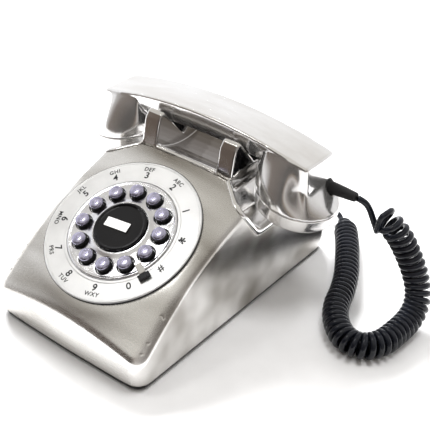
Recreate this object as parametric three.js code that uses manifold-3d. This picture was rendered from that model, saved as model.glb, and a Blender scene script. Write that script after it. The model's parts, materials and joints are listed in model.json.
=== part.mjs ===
// Push-button desk telephone with a traditional round dial face, in millimetres, +Z up.
// The origin lies on the table, under the middle of the body: +X is the right side, -Y the front.
import * as THREE from 'three';
import { mergeVertices } from 'three/addons/utils/BufferGeometryUtils.js';
import { ConvexGeometry } from 'three/addons/geometries/ConvexGeometry.js';
import Module from 'manifold-3d';

const wasm = await Module();
wasm.setup();

// ---- driving dimensions ----
const GAP = 0.3;                 // clearance between neighbouring pieces
const SMALLEST_EDGE = 0.02;      // slivers under this size are cleaned away after a cut

const BODY_HALF_WIDTH = 73.5;
const BODY_HALF_DEPTH = 122;
const BODY_CORNER = 11;
const SHELL_BOTTOM = 4.7;
const WALL = 3;
const CEILING = 120;             // above everything that the shell can reach
const FRONT_BOW = 2;             // how far the middle of the front wall stands proud of its corners

const DIAL_Y = -56.2;
const DIAL_Z = 77.2;
const DIAL_TILT = THREE.MathUtils.degToRad(27.05);
const RING_RADIUS = 62;
const RING_INNER = 43.6;
const RING_THICKNESS = 1.6;
const FACE_DEPTH = 2;            // the face lies this far below the top of the number ring
const FACE_FALL = 0.4;           // slope at which the face falls away below the ring
const FACE_FALL_ABOVE = 0.25;    // and above it
const FACE_FLAT = 62.5;          // radius of the flat seat under the ring
const FACE_TOP = 107;            // where the face meets the front of the cradle
const FALL_SPAN = 30;            // the slope changes over this distance to either side of the dial's middle
const BEVEL_START = 66;
const BEVEL_SLOPE = 0.7;
const BACK_TOP = 98;             // behind the cradle the top starts here
const BACK_DROP = 53;            // and has dropped this far at the rear wall,
const BACK_POWER = 2.2;          // slowly at first
const BACK_CROWN = 0.0016;
const OUTSIDE_X = 78;            // just outside the side walls
const OUTSIDE_Y = 126;           // just outside the front and rear walls

const CRADLE_Y = 51;             // centre line of the handset and its cradle
const BLOCK_HALF_WIDTH = 45;
const BLOCK_HALF_DEPTH = 35.6;
const HORN_INNER = 30;
const SHELF_Z = 66;              // floor of the recess under each end of the handset
const SHEET = 2.3;               // thickness of the cradle casting
// The recess under each end of the handset: how far it reaches to the front and to the rear.
const RECESS_TOP = 112;
const RECESS_INNER_FLOOR = 29.5;
const RECESS_INNER_TOP = 37.3;
const RECESS_OUTER_FLOOR = 33.5;
const RECESS_OUTER_TOP = 68;

const HANDLE_HALF_WIDTH = 18.75;
const HANDLE_END = 100.2;
const HANDLE_TOP = 139.6;
const HANDLE_BOTTOM = 117.5;
const HANDLE_KEEL = 10;          // half width of the underside of the handle
const ARCH = 0.00122;            // curvature of the top of the handle
const KEEL_ARCH = 0.0008;        // and of its underside
const END_BLOCK_X = 81.5;        // middle of the square block at each end of the handle
const CUP_X = 84.4;
const CUP_Z = 93.3;
const CUP_RADIUS = 33.6;
const CUP_TILT = THREE.MathUtils.degToRad(12);
const CAP_HEIGHT = 14;

const BUTTON_CIRCLE = 32.6;
const BUTTON_RADIUS = 5.6;
const BUTTON_COUNT = 12;
const BUTTON_FIRST_ANGLE = 15;   // degrees clockwise from the top of the dial
const FINGER_HOLE = 7.2;
const STOP_ANGLE = 120;
const DISC_RADIUS = 21;
const DISC_TOP = 4.4;
const CARD_HALF = [10.3, 3.8];
const CARD_TURN = 6;             // the card sits slightly askew on the disc

const SCREW_Y = 104;
const PLATE_BOTTOM = 1.2;
const PLATE_TOP = 4.4;
const PLATE_INSET = 1.2;
const FOOT_X = 56;
const FOOT_Y = 100;
const FOOT_RADIUS = 8;
const JACK_Z = 17;
const JACK_HALF = 7;
const JACK_DEPTH = 14;
const LINE_JACK_X = -35;
const CORD_JACK_X = 45;
const JACK_MOUTH_Y = 121.4;
const BOARD_Z = 9;
const BOARD_HALF = [52, 38];
const BOARD_Y = 34;
const BOARD_THICKNESS = 1.6;

const PLUNGER_X = 37.5;
const PLUNGER_TOP = 116;
const LEVER_ARM = 22;            // from the lever's pivot to the middle of its bar
const LEVER_BAR = [79.6, 83.6];  // underside and top of the bar
const LEVER_PIN = 1.5;
const PIVOT_Z = 80;

const CORD_RADIUS = 2.5;
const COIL_RADIUS = 10.5;
const GLAND_Y = 12.5;
const GLAND_Z = 100.8;
const GLAND_LENGTH = 26;
const GLAND_START = HANDLE_END + 1.2;

// ---- helpers ----
function toSolid(geometry) {
  const bare = geometry.index ? geometry.toNonIndexed() : geometry.clone();
  bare.deleteAttribute('normal');
  bare.deleteAttribute('uv');
  const merged = mergeVertices(bare, 1e-4);
  const index = merged.index.array;
  const triangles = [];
  for (let i = 0; i < index.length; i += 3) {
    const [a, b, c] = [index[i], index[i + 1], index[i + 2]];
    if (a !== b && b !== c && c !== a) triangles.push(a, b, c);
  }
  const solid = new wasm.Manifold(new wasm.Mesh({
    numProp: 3,
    vertProperties: new Float32Array(merged.attributes.position.array),
    triVerts: new Uint32Array(triangles),
  }));
  if (solid.volume() < 0) throw new Error('a solid is inside out');
  return solid;
}

function toGeometry(solid) {
  const mesh = solid.simplify(SMALLEST_EDGE).getMesh();
  const geometry = new THREE.BufferGeometry();
  geometry.setAttribute('position', new THREE.BufferAttribute(new Float32Array(mesh.vertProperties), 3));
  geometry.setIndex(new THREE.BufferAttribute(new Uint32Array(mesh.triVerts), 1));
  geometry.computeVertexNormals();
  return geometry;
}

function union(...solids) {
  return solids.reduce((whole, piece) => whole.add(piece));
}

function box(x0, x1, y0, y1, z0, z1) {
  const geometry = new THREE.BoxGeometry(x1 - x0, y1 - y0, z1 - z0);
  geometry.translate((x0 + x1) / 2, (y0 + y1) / 2, (z0 + z1) / 2);
  return toSolid(geometry);
}

// A cylinder along Z from z0 to z1.
function rod(radius, x, y, z0, z1, sides = 24, topRadius = radius) {
  const geometry = new THREE.CylinderGeometry(topRadius, radius, z1 - z0, sides);
  geometry.rotateX(Math.PI / 2);
  geometry.translate(x, y, (z0 + z1) / 2);
  return toSolid(geometry);
}

// A body turned about Z from [radius, height] pairs.
function turned(profile, sides = 32) {
  const points = profile.map(([r, h]) => new THREE.Vector2(r, h));
  const geometry = new THREE.LatheGeometry(points, sides);
  geometry.rotateX(Math.PI / 2);
  return toSolid(geometry);
}

// An outline of [y, z] pairs drawn out along X from x0 to x1.
function alongX(outline, x0, x1) {
  const shape = new THREE.Shape(outline.map(([y, z]) => new THREE.Vector2(y, z)));
  const geometry = new THREE.ExtrudeGeometry(shape, { depth: x1 - x0, bevelEnabled: false });
  geometry.applyMatrix4(new THREE.Matrix4().set(0, 0, 1, x0, 1, 0, 0, 0, 0, 1, 0, 0, 0, 0, 0, 1));
  return toSolid(geometry);
}

// A closed body through rings of points, each ring a convex outline with the same number of points.
function loft(rings) {
  const count = rings[0].length;
  const last = rings.length - 1;
  const points = rings.flat();
  const centre = (ring) => ring.reduce((sum, p) => sum.add(p), new THREE.Vector3()).divideScalar(count);
  points.push(centre(rings[0]), centre(rings[last]));
  const index = [];
  for (let j = 0; j < count; j += 1) {
    const k = (j + 1) % count;
    index.push(points.length - 2, k, j, points.length - 1, last * count + j, last * count + k);
    for (let i = 0; i < last; i += 1) {
      const [a, b] = [i * count + j, i * count + k];
      index.push(a, b, b + count, a, b + count, a + count);
    }
  }
  const geometry = new THREE.BufferGeometry().setFromPoints(points);
  geometry.setIndex(index);
  return toSolid(geometry);
}

function hull(points) {
  return toSolid(new ConvexGeometry(points.map((p) => new THREE.Vector3(...p))));
}

// A tube along a smooth curve through hand-picked points.
function tube(points, radius, sides, steps) {
  const section = new THREE.Shape();
  for (let i = 0; i < sides; i += 1) {
    const angle = (2 * Math.PI * i) / sides;
    const corner = [radius * Math.cos(angle), radius * Math.sin(angle)];
    if (i === 0) section.moveTo(...corner);
    else section.lineTo(...corner);
  }
  section.closePath();
  const curve = new THREE.CatmullRomCurve3(points.map((p) => new THREE.Vector3(...p)));
  return toSolid(new THREE.ExtrudeGeometry(section, { steps, extrudePath: curve, bevelEnabled: false }));
}

const DIAL_FRAME = new THREE.Matrix4().makeRotationX(DIAL_TILT).setPosition(0, DIAL_Y, DIAL_Z);

function inDialFrame(solid) {
  return toSolid(toGeometry(solid).applyMatrix4(DIAL_FRAME));
}

// ---- materials and the scene graph ----
const LOOKS = {
  brushed: [0xb9b4ac, 0.34, 1],
  chrome: [0xd8d8da, 0.07, 1],
  satin: [0xd9dadb, 0.35, 0.6],
  black: [0x141416, 0.3, 0],
  gloss: [0x08080a, 0.06, 0],
  rubber: [0x1a1a1c, 0.8, 0],
  cord: [0x1d2126, 0.45, 0],
  lens: [0xd5d3e2, 0.08, 0],
  card: [0xf2f2f0, 0.7, 0],
  board: [0x1f5a35, 0.5, 0],
  steel: [0x9a9ca0, 0.4, 1],
  clear: [0xdfe5e8, 0.15, 0],
};

const phone = new THREE.Group();
const dial = new THREE.Group();
dial.position.set(0, DIAL_Y, DIAL_Z);
dial.rotation.x = DIAL_TILT;
const cradleGroup = new THREE.Group();
cradleGroup.position.y = CRADLE_Y;
const handset = new THREE.Group();
handset.position.y = CRADLE_Y;
phone.add(dial, cradleGroup, handset);

function place(parent, name, solid, look) {
  const [color, roughness, metalness] = LOOKS[look];
  const material = new THREE.MeshStandardMaterial({ color, roughness, metalness });
  const mesh = new THREE.Mesh(toGeometry(solid), material);
  mesh.name = name;
  parent.add(mesh);
  return mesh;
}

// ---- body shell ----
// Height of the face at a point: flat under the number ring, falling away in a cone around it,
// with a bevel along both side edges. Behind the cradle the top curves down to the rear wall.
function bodyTop(x, y) {
  const bevel = BEVEL_SLOPE * Math.max(0, Math.abs(x) - BEVEL_START);
  if (y > CRADLE_Y) {
    const start = CRADLE_Y + BLOCK_HALF_DEPTH;
    const run = Math.max(0, y - start) / (BODY_HALF_DEPTH - start);
    return BACK_TOP - BACK_DROP * Math.min(run, 1.1) ** BACK_POWER - BACK_CROWN * x * x - bevel;
  }
  const plane = DIAL_Z + Math.tan(DIAL_TILT) * (y - DIAL_Y) - FACE_DEPTH / Math.cos(DIAL_TILT);
  const radius = Math.hypot(x, (y - DIAL_Y) / Math.cos(DIAL_TILT));
  const height = THREE.MathUtils.smoothstep(y, DIAL_Y - FALL_SPAN, DIAL_Y + FALL_SPAN);
  const fall = THREE.MathUtils.lerp(FACE_FALL, FACE_FALL_ABOVE, height);
  return Math.min(plane - fall * Math.max(0, radius - FACE_FLAT), FACE_TOP) - bevel;
}

// One level of the side walls: a rectangle with round corners and a bowed front edge.
function bodyOutline(z, halfWidth, front, rear, corner) {
  const points = [];
  const cornerSteps = 5;
  const centres = [
    [halfWidth - corner, rear - corner, 0],
    [corner - halfWidth, rear - corner, 90],
    [corner - halfWidth, front + corner, 180],
    [halfWidth - corner, front + corner, 270],
  ];
  for (const [cx, cy, start] of centres) {
    for (let i = 0; i <= cornerSteps; i += 1) {
      const angle = THREE.MathUtils.degToRad(start + (90 * i) / cornerSteps);
      points.push(new THREE.Vector3(cx + corner * Math.cos(angle), cy + corner * Math.sin(angle), z));
    }
    if (start === 180) {
      for (const share of [-0.7, -0.35, 0, 0.35, 0.7]) {
        points.push(new THREE.Vector3(share * halfWidth, front, z));
      }
    }
  }
  for (const p of points) {
    if (p.y < 0) p.y += FRONT_BOW * Math.min(1, (p.x / halfWidth) ** 2) * Math.min(1, -p.y / 100);
  }
  return points;
}

// [height, half width, front y, rear y] of the outer walls.
const BODY_LEVELS = [
  [SHELL_BOTTOM, BODY_HALF_WIDTH, -120.8, 121],
  [14, BODY_HALF_WIDTH + 0.5, -BODY_HALF_DEPTH, BODY_HALF_DEPTH],
  [26, BODY_HALF_WIDTH + 0.2, -121.8, BODY_HALF_DEPTH],
  [38, BODY_HALF_WIDTH - 0.5, -120.8, 121.6],
  [60, BODY_HALF_WIDTH - 1.3, -118, 120],
  [92, BODY_HALF_WIDTH - 2.4, -114, 117],
  [CEILING, BODY_HALF_WIDTH - 3.2, -110, 114],
];

function bodyWalls(inset) {
  return loft(BODY_LEVELS.map(([z, half, front, rear], level) => {
    const height = level === 0 ? z - inset : z;
    return bodyOutline(height, half - inset, front + inset, rear - inset, BODY_CORNER - inset);
  }));
}

// Everything under the body's top, lowered by a distance, over a grid of columns and rows.
function bodyBelow(lower, columns, rows) {
  const bottom = -5;
  const points = [];
  for (const y of rows) for (const x of columns) points.push(new THREE.Vector3(x, y, bodyTop(x, y) - lower));
  const top = points.length;
  for (const y of rows) for (const x of columns) points.push(new THREE.Vector3(x, y, bottom));
  const across = columns.length;
  const index = [];
  for (let j = 0; j < rows.length - 1; j += 1) {
    for (let i = 0; i < across - 1; i += 1) {
      const [a, b, c, d] = [j * across + i, j * across + i + 1, (j + 1) * across + i + 1, (j + 1) * across + i];
      index.push(a, b, c, a, c, d);
      index.push(top + a, top + c, top + b, top + a, top + d, top + c);
    }
  }
  const wall = (a, b) => index.push(a, top + a, top + b, a, top + b, b);
  for (let i = 0; i < across - 1; i += 1) {
    wall(i, i + 1);
    wall((rows.length - 1) * across + i + 1, (rows.length - 1) * across + i);
  }
  for (let j = 0; j < rows.length - 1; j += 1) {
    wall((j + 1) * across, j * across);
    wall(j * across + across - 1, (j + 1) * across + across - 1);
  }
  const geometry = new THREE.BufferGeometry().setFromPoints(points);
  geometry.setIndex(index);
  return toSolid(geometry);
}

function spread(from, to, count) {
  return Array.from({ length: count + 1 }, (_, i) => from + ((to - from) * i) / count);
}

const HALF_COLUMNS = [0, 14, 28, 41, 52, 60, BEVEL_START, OUTSIDE_X];
const FINE_COLUMNS = [...HALF_COLUMNS.slice(1).reverse().map((x) => -x), ...HALF_COLUMNS];
const COARSE_COLUMNS = [-OUTSIDE_X, -BEVEL_START, -45, -20, 0, 20, 45, BEVEL_START, OUTSIDE_X];

// Rows of points from front to rear, with a step in the middle of the cradle.
function rows(before, behind) {
  return [...spread(-OUTSIDE_Y, CRADLE_Y - 0.5, before), ...spread(CRADLE_Y + 0.5, OUTSIDE_Y, behind)];
}

const bodyForm = bodyWalls(0).intersect(bodyBelow(0, FINE_COLUMNS, rows(15, 9)));

// The recess beside the cradle block, where one end of the handset hangs. Positions in y are
// measured from the cradle's centre line.
function recess(side, inset, inner) {
  const floor = SHELF_Z + inset;
  const top = RECESS_TOP + inset;
  const points = [];
  for (const end of [-1, 1]) {
    points.push([side * inner, end * (RECESS_INNER_TOP - inset), top]);
    points.push([side * inner, end * (RECESS_INNER_FLOOR - inset), floor]);
    points.push([side * OUTSIDE_X, end * (RECESS_OUTER_TOP - inset), top]);
    points.push([side * OUTSIDE_X, end * (RECESS_OUTER_FLOOR - inset), floor]);
  }
  return hull(points);
}

function shell() {
  const cavity = bodyWalls(WALL).intersect(bodyBelow(WALL + 0.3, COARSE_COLUMNS, rows(9, 6)));
  const cradleOpening = union(
    recess(1, 0, BLOCK_HALF_WIDTH - 2),
    recess(-1, 0, BLOCK_HALF_WIDTH - 2),
    box(-BLOCK_HALF_WIDTH - GAP, BLOCK_HALF_WIDTH + GAP, -36, 36, SHELF_Z - 10, CEILING + 20),
  ).translate([0, CRADLE_Y, 0]);
  let solid = bodyForm.subtract(cavity).subtract(cradleOpening);
  solid = solid.subtract(inDialFrame(rod(46, 0, 0, -20, 10, 48)));
  const bossRadius = 5;
  const screwHole = { radius: 2.1, top: 22 };
  for (const [y, top] of [[-SCREW_Y, 44], [SCREW_Y, 76]]) {
    solid = solid.add(rod(bossRadius, 0, y, SHELL_BOTTOM, top, 16));
    solid = solid.subtract(rod(screwHole.radius, 0, y, 0, screwHole.top, 12));
  }
  const half = JACK_HALF + GAP;
  for (const x of [LINE_JACK_X, CORD_JACK_X]) {
    solid = solid.subtract(box(x - half, x + half, JACK_MOUTH_Y - 12, OUTSIDE_Y, JACK_Z - half, JACK_Z + half));
  }
  return solid;
}

// ---- base plate, feet and the parts that stand on it ----
function basePlate() {
  const inset = PLATE_INSET;
  const [, half, front, rear] = BODY_LEVELS[0];
  const ring = (z) => bodyOutline(z, half - inset, front + inset, rear - inset, BODY_CORNER - inset);
  let plate = loft([ring(PLATE_BOTTOM), ring(PLATE_TOP)]);
  for (const x of [-FOOT_X, FOOT_X]) {
    for (const y of [-FOOT_Y, FOOT_Y]) plate = plate.subtract(rod(FOOT_RADIUS + 0.4, x, y, 0, 3.4, 16));
  }
  for (const y of [-SCREW_Y, SCREW_Y]) {
    plate = plate.subtract(rod(4.6, 0, y, 0, 3.1, 20)).subtract(rod(2.2, 0, y, 0, 6, 12));
  }
  const fromCorner = 5;
  const postRadius = 3;
  for (const x of [-1, 1]) {
    for (const y of [-1, 1]) {
      const post = [x * (BOARD_HALF[0] - fromCorner), BOARD_Y + y * (BOARD_HALF[1] - fromCorner)];
      plate = plate.add(rod(postRadius, ...post, PLATE_TOP - 0.5, BOARD_Z - GAP, 12));
    }
  }
  return plate;
}

function foot() {
  return turned([[0, 0], [FOOT_RADIUS - 1, 0], [FOOT_RADIUS, 0.8], [FOOT_RADIUS, 3.1], [0, 3.1]], 16);
}

function shellScrew() {
  const head = turned([[0, 1.5], [3.4, 1.5], [4, 2], [4, 2.8], [0, 2.8]], 20);
  return head.add(rod(1.7, 0, 0, 2.5, 20, 10)).subtract(box(-3, 3, -0.5, 0.5, 0.9, 2));
}

// The main board with its larger components standing on it.
function mainBoard() {
  const [halfX, halfY] = BOARD_HALF;
  let board = box(-halfX, halfX, BOARD_Y - halfY, BOARD_Y + halfY, BOARD_Z, BOARD_Z + BOARD_THICKNESS);
  const top = BOARD_Z + BOARD_THICKNESS - 0.1;
  // The opening that the switch hook's stand comes up through.
  board = board.subtract(box(-31, 31, CRADLE_Y - 10, CRADLE_Y + 30, BOARD_Z - 1, top + 3));
  // Each component's middle, half sizes and height.
  const blocks = [
    [-38, 12, 8, 5, 3], [-40, 34, 5, 9, 3.4], [12, 8, 9, 9, 2.4], [40, 50, 7, 7, 12], [20, 26, 10, 4, 6],
  ];
  for (const [x, y, halfWide, halfDeep, height] of blocks) {
    board = board.add(box(x - halfWide, x + halfWide, y - halfDeep, y + halfDeep, top, top + height));
  }
  for (const x of [-14, -4, 38]) board = board.add(rod(3.5, x, 4, top, top + 11, 12));
  return board;
}

// A round sounder in a cage, standing on the base plate in front of the board.
function ringer() {
  const z0 = PLATE_TOP + GAP;
  return turned([[0, z0], [21, z0], [21, z0 + 3], [19, z0 + 5], [19, z0 + 9], [9, z0 + 12], [0, z0 + 12]], 20);
}

// A modular jack let into the rear wall, its mouth open to the rear.
function jack(mouthHalfWidth, mouthDepth) {
  const block = box(-JACK_HALF, JACK_HALF, -JACK_DEPTH, 0, -JACK_HALF, JACK_HALF);
  const mouth = box(-mouthHalfWidth, mouthHalfWidth, -mouthDepth, 2, -3.6, 3.6);
  const latch = box(-2.2, 2.2, -mouthDepth, 2, -5.4, -3);
  return block.subtract(mouth).subtract(latch);
}

// The switch hook's stand: two posts that hold the lever's pivot and a column with the switch.
function hookSwitch() {
  const z0 = PLATE_TOP + GAP;
  const footTop = z0 + 2.5;
  const rear = LEVER_ARM;
  const postX = 26;
  const switchBottom = 70;
  const switchTop = 76;
  let stand = box(-30, 30, -8, rear + 6, z0, footTop);
  for (const side of [-1, 1]) {
    const x = side * postX;
    stand = stand.add(box(x - 1.5, x + 1.5, rear - 5, rear + 5, footTop - 0.5, PIVOT_Z + 4));
  }
  stand = stand.add(box(-7, 7, -6, 6, footTop - 0.5, switchBottom));
  stand = stand.add(box(-10, 10, -4, 4, switchBottom - 0.5, switchTop));
  stand = stand.add(box(-1.5, 1.5, -1.5, 1.5, switchTop - 0.5, LEVER_BAR[0] - 0.6));
  return stand.subtract(alongX(circle(rear, PIVOT_Z, LEVER_PIN + 0.4, 12), -40, 40));
}

function circle(y, z, radius, sides) {
  return Array.from({ length: sides }, (_, i) => {
    const angle = (2 * Math.PI * i) / sides;
    return [y + radius * Math.cos(angle), z + radius * Math.sin(angle)];
  });
}

// The lever: a bar under both plungers, two arms and a pivot pin through the stand's posts.
function hookLever() {
  const rear = LEVER_ARM;
  const [low, high] = LEVER_BAR;
  const armX = 21;
  let lever = box(-41, 41, -3.6, 3.6, low, high);
  for (const side of [-1, 1]) {
    lever = lever.add(box(side * armX - 2, side * armX + 2, 0, rear + 3, low - 1, high - 0.4));
  }
  return lever.add(alongX(circle(rear, PIVOT_Z, LEVER_PIN, 12), -29, 29));
}

// ---- cradle ----
function mirrored(half) {
  return [...half, ...half.slice().reverse().filter(([y]) => y !== 0).map(([y, z]) => [-y, z])];
}

const HORN_HALF = [[-BLOCK_HALF_DEPTH + GAP, 90], [-BLOCK_HALF_DEPTH + GAP, 102], [-31.6, 121.5],
  [-30.2, 126.2], [-27.2, 130.4], [-23.6, 131.7], [-21.5, 129.6], [-4, 108.2], [0, 104.6]];
const HORN_HOLLOW_HALF = [[-33, 60], [-33, 102], [-29.2, 121], [-26.5, 127], [-24, 128.3], [-4, 104.6],
  [0, 101.5]];
const PAN_EDGE = 106.2;
const PAN_FLOOR = 97;

// Outline of the hollow between the two pairs of horns: rolled edges and a round pan.
function panHalf() {
  const edge = BLOCK_HALF_DEPTH - GAP;
  const points = [[-edge, 90], [-edge, 103.6], [-edge + 1.2, 105.4], [-edge + 3, PAN_EDGE], [-edge + 5, 105.6]];
  for (const y of [-26, -20, -13, -6.5, 0]) points.push([y, PAN_FLOOR + 8 * (y / 31) ** 2]);
  return points;
}

function cradle() {
  const edge = BLOCK_HALF_WIDTH;
  const depth = BLOCK_HALF_DEPTH - GAP;
  const tray = union(...[1, -1].map((side) => recess(side, GAP, edge - 1).subtract(recess(side, SHEET + GAP, edge))));
  const bodyInCradle = bodyForm.translate([0, -CRADLE_Y, 0]);
  const lower = box(-edge, edge, -depth, depth, SHELF_Z + GAP, 92);
  const lip = union(...[1, -1].map((side) => hull([
    [side * (edge - 1), -depth + 2, 97], [side * (edge - 1), depth - 2, 97],
    [side * (edge + 2.2), -depth + 6, 94.5], [side * (edge + 2.2), depth - 6, 94.5],
    [side * (edge + 2.2), -depth + 6, 93], [side * (edge + 2.2), depth - 6, 93],
    [side * (edge - 1), -depth + 2, 91], [side * (edge - 1), depth - 2, 91],
  ])));
  let solid = tray.intersect(bodyInCradle);
  solid = union(solid, lower, lip, alongX(mirrored(panHalf()), -HORN_INNER - 1, HORN_INNER + 1));
  for (const side of [1, -1]) {
    const [x0, x1] = side > 0 ? [HORN_INNER, edge] : [-edge, -HORN_INNER];
    solid = solid.add(alongX(mirrored(HORN_HALF), x0, x1));
    solid = solid.subtract(alongX(mirrored(HORN_HOLLOW_HALF), x0 + SHEET, x1 - SHEET));
    solid = solid.subtract(rod(4.6, side * PLUNGER_X, 0, 95, 110, 20));
  }
  solid = solid.subtract(box(-edge + SHEET, edge - SHEET, -depth + SHEET, depth - SHEET, 50, PAN_FLOOR - SHEET));
  return solid;
}

function plunger() {
  const [top, bottom] = [PLUNGER_TOP, LEVER_BAR[1] + GAP];
  return turned([[0, bottom], [4.8, bottom], [4.8, bottom + 2], [4, bottom + 2.6], [4, top - 2], [2.8, top], [0, top]], 14);
}

// ---- handset ----
function handleTop(x) {
  return HANDLE_TOP - ARCH * x * x;
}

function gripSection(x) {
  const top = handleTop(x) + 4;
  const keel = HANDLE_BOTTOM - KEEL_ARCH * x * x;
  const half = HANDLE_HALF_WIDTH;
  const waist = handleTop(x) - 8;
  const section = [[-half, top], [-half, handleTop(x)], [-half + 1.2, waist], [-HANDLE_KEEL, keel],
    [HANDLE_KEEL, keel], [half - 1.2, waist], [half, handleTop(x)], [half, top]];
  return section.map(([y, z]) => new THREE.Vector3(x, y, z));
}

// One end of the handset: a square end block above that swells into a round cup below.
function cup(side) {
  const around = 28;
  const levels = 7;
  const rings = [];
  const blockHalf = HANDLE_END - END_BLOCK_X;
  const { smoothstep } = THREE.MathUtils;
  for (let level = 0; level <= levels; level += 1) {
    const t = 1 - level / levels;
    const ring = [];
    for (let i = 0; i < around; i += 1) {
      const angle = (2 * Math.PI * i) / around;
      const [c, s] = [Math.cos(angle), Math.sin(angle)];
      const reach = 1 / Math.max(Math.abs(c), Math.abs(s));
      const square = [END_BLOCK_X + blockHalf * reach * c, HANDLE_HALF_WIDTH * reach * s];
      const round = [CUP_X + CUP_RADIUS * c * Math.cos(CUP_TILT), CUP_RADIUS * s];
      const seamZ = CUP_Z - CUP_RADIUS * c * Math.sin(CUP_TILT);
      // The end flares out late and sharply; the other sides swell early, like a dome.
      const flare = smoothstep(t, 0.6, 1.04);
      const dome = Math.sin((Math.PI / 2) * Math.max(0, (t - 0.2) / 0.8));
      const outward = smoothstep(c, 0.1, 0.75);
      const swell = flare * outward + dome * (1 - outward);
      ring.push(new THREE.Vector3(
        side * (square[0] + (round[0] - square[0]) * swell),
        square[1] + (round[1] - square[1]) * swell,
        HANDLE_TOP + (seamZ - HANDLE_TOP) * t,
      ));
    }
    if (side < 0) ring.reverse();
    rings.push(ring);
  }
  return loft(rings);
}

const CUP_FRAMES = [1, -1].map((side) => new THREE.Matrix4()
  .makeRotationY(side * CUP_TILT).setPosition(side * CUP_X, 0, CUP_Z));

function handsetBody() {
  const gripEnd = 75;
  const beyond = 125;
  const below = 60;
  const depth = 100;
  const grip = loft(spread(-gripEnd, gripEnd, 10).map(gripSection));
  // Everything under the arched top line.
  const archOutline = spread(-HANDLE_END, HANDLE_END, 16).map((x) => new THREE.Vector2(x, handleTop(x)));
  archOutline.push(new THREE.Vector2(beyond, handleTop(HANDLE_END)), new THREE.Vector2(beyond, below));
  archOutline.push(new THREE.Vector2(-beyond, below), new THREE.Vector2(-beyond, handleTop(HANDLE_END)));
  const arch = new THREE.ExtrudeGeometry(new THREE.Shape(archOutline), { depth, bevelEnabled: false });
  arch.rotateX(Math.PI / 2);
  arch.translate(0, depth / 2, 0);
  let solid = union(grip, cup(1), cup(-1)).intersect(toSolid(arch));
  const hollow = turned([[0, -8], [29, -8], [29, 2.4], [15.6, 4], [15.6, 9], [0, 9]], 28);
  for (const frame of CUP_FRAMES) solid = solid.subtract(toSolid(toGeometry(hollow).applyMatrix4(frame)));
  const seat = rod(6 + GAP, 0, 0, GLAND_START - GAP, 130, 20).rotate([0, 90, 0]);
  return solid.subtract(seat.translate([0, GLAND_Y, GLAND_Z]));
}

function cap() {
  const [edge, face] = [-GAP, -CAP_HEIGHT];
  let solid = turned([[0, face + 2.2], [20, face + 2], [27, face], [31, face + 0.8], [33, face + 3.2],
    [CUP_RADIUS, face + 7], [CUP_RADIUS, edge], [31, edge], [31, face + 5], [0, face + 5]], 32);
  const holes = 6;
  const holeSpots = [[0, 0]];
  for (let i = 0; i < holes; i += 1) holeSpots.push(onCircle(9, (360 * i) / holes));
  for (const [x, y] of holeSpots) solid = solid.subtract(rod(1.5, x, y, face - 2, face + 8, 6));
  return solid;
}

function capsule() {
  return turned([[0, -8.3], [24, -8.3], [28.2, -6], [28.2, 1.6], [15, 2.6], [15, 8], [0, 8]], 20);
}

// ---- dial face ----
function numberRing() {
  return turned([[RING_INNER, -RING_THICKNESS], [RING_RADIUS, -RING_THICKNESS], [RING_RADIUS, -0.5],
    [RING_RADIUS - 0.6, 0], [RING_INNER, 0], [RING_INNER, -RING_THICKNESS]], 56);
}

function onCircle(radius, degrees) {
  const angle = THREE.MathUtils.degToRad(degrees);
  return [radius * Math.sin(angle), radius * Math.cos(angle)];
}

function buttonSpots() {
  return Array.from({ length: BUTTON_COUNT }, (_, i) => {
    return onCircle(BUTTON_CIRCLE, BUTTON_FIRST_ANGLE + (360 / BUTTON_COUNT) * i);
  });
}

// The dished wheel with a finger hole around each button.
function fingerWheel() {
  const inner = DISC_RADIUS + 0.5;
  let wheel = turned([[inner, -1.2], [43.2, -1.2], [43.2, 0.2], [42.2, 0.7], [40.6, -0.2], [36, -0.5], [30.5, -0.2],
    [26, 0.9], [23, 2.6], [inner, 2.8], [inner, -1.2]], 48);
  for (const [x, y] of buttonSpots()) wheel = wheel.subtract(rod(FINGER_HOLE, x, y, -6, 4, 16));
  return wheel;
}

// The keypad housing: a plate with a guide hole for each button and a skirt behind it.
function keypadHousing() {
  let housing = turned([[0, -3.1], [43, -3.1], [43, -16.2], [45.4, -16.2], [45.4, -2.3], [43.2, -2.3],
    [43.2, -1.5], [0, -1.5]], 36);
  for (const [x, y] of buttonSpots()) housing = housing.subtract(rod(BUTTON_RADIUS + GAP + 0.2, x, y, -8, 0, 14));
  return housing;
}

function buttonStem() {
  return turned([[0, -7], [6.6, -7], [6.6, -3.5], [BUTTON_RADIUS, -3.5], [BUTTON_RADIUS, 3.6],
    [5, 4.1], [0, 4.1]], 14);
}

function buttonCap() {
  return turned([[0, 4.4], [5.3, 4.4], [5.3, 4.9], [3.6, 5.9], [0, 6.2]], 14);
}

// The glossy centre disc, with a raised bezel around it.
function centreDisc() {
  return turned([[0, -1.2], [DISC_RADIUS, -1.2], [DISC_RADIUS, 4], [DISC_RADIUS - 0.7, 5],
    [DISC_RADIUS - 1.8, 5], [DISC_RADIUS - 2.8, 3.8], [0, DISC_TOP]], 36);
}

// The finger stop: a foot on the number ring and a hook that reaches in over the wheel.
function fingerStop() {
  const hook = [[46.3, 1.2], [46.3, 2.8], [43, 4.6], [38, 5.6], [36.6, 5], [36.8, 3.6], [41.8, 3], [44.4, 0.6]];
  const side = alongX(hook, -2.6, 2.6);
  return side.rotate([0, 0, -STOP_ANGLE]);
}

function stopBlock() {
  const block = box(-4.6, 4.6, 46.6, 51.2, 0.3, 3.2);
  return block.rotate([0, 0, -STOP_ANGLE]);
}

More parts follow.
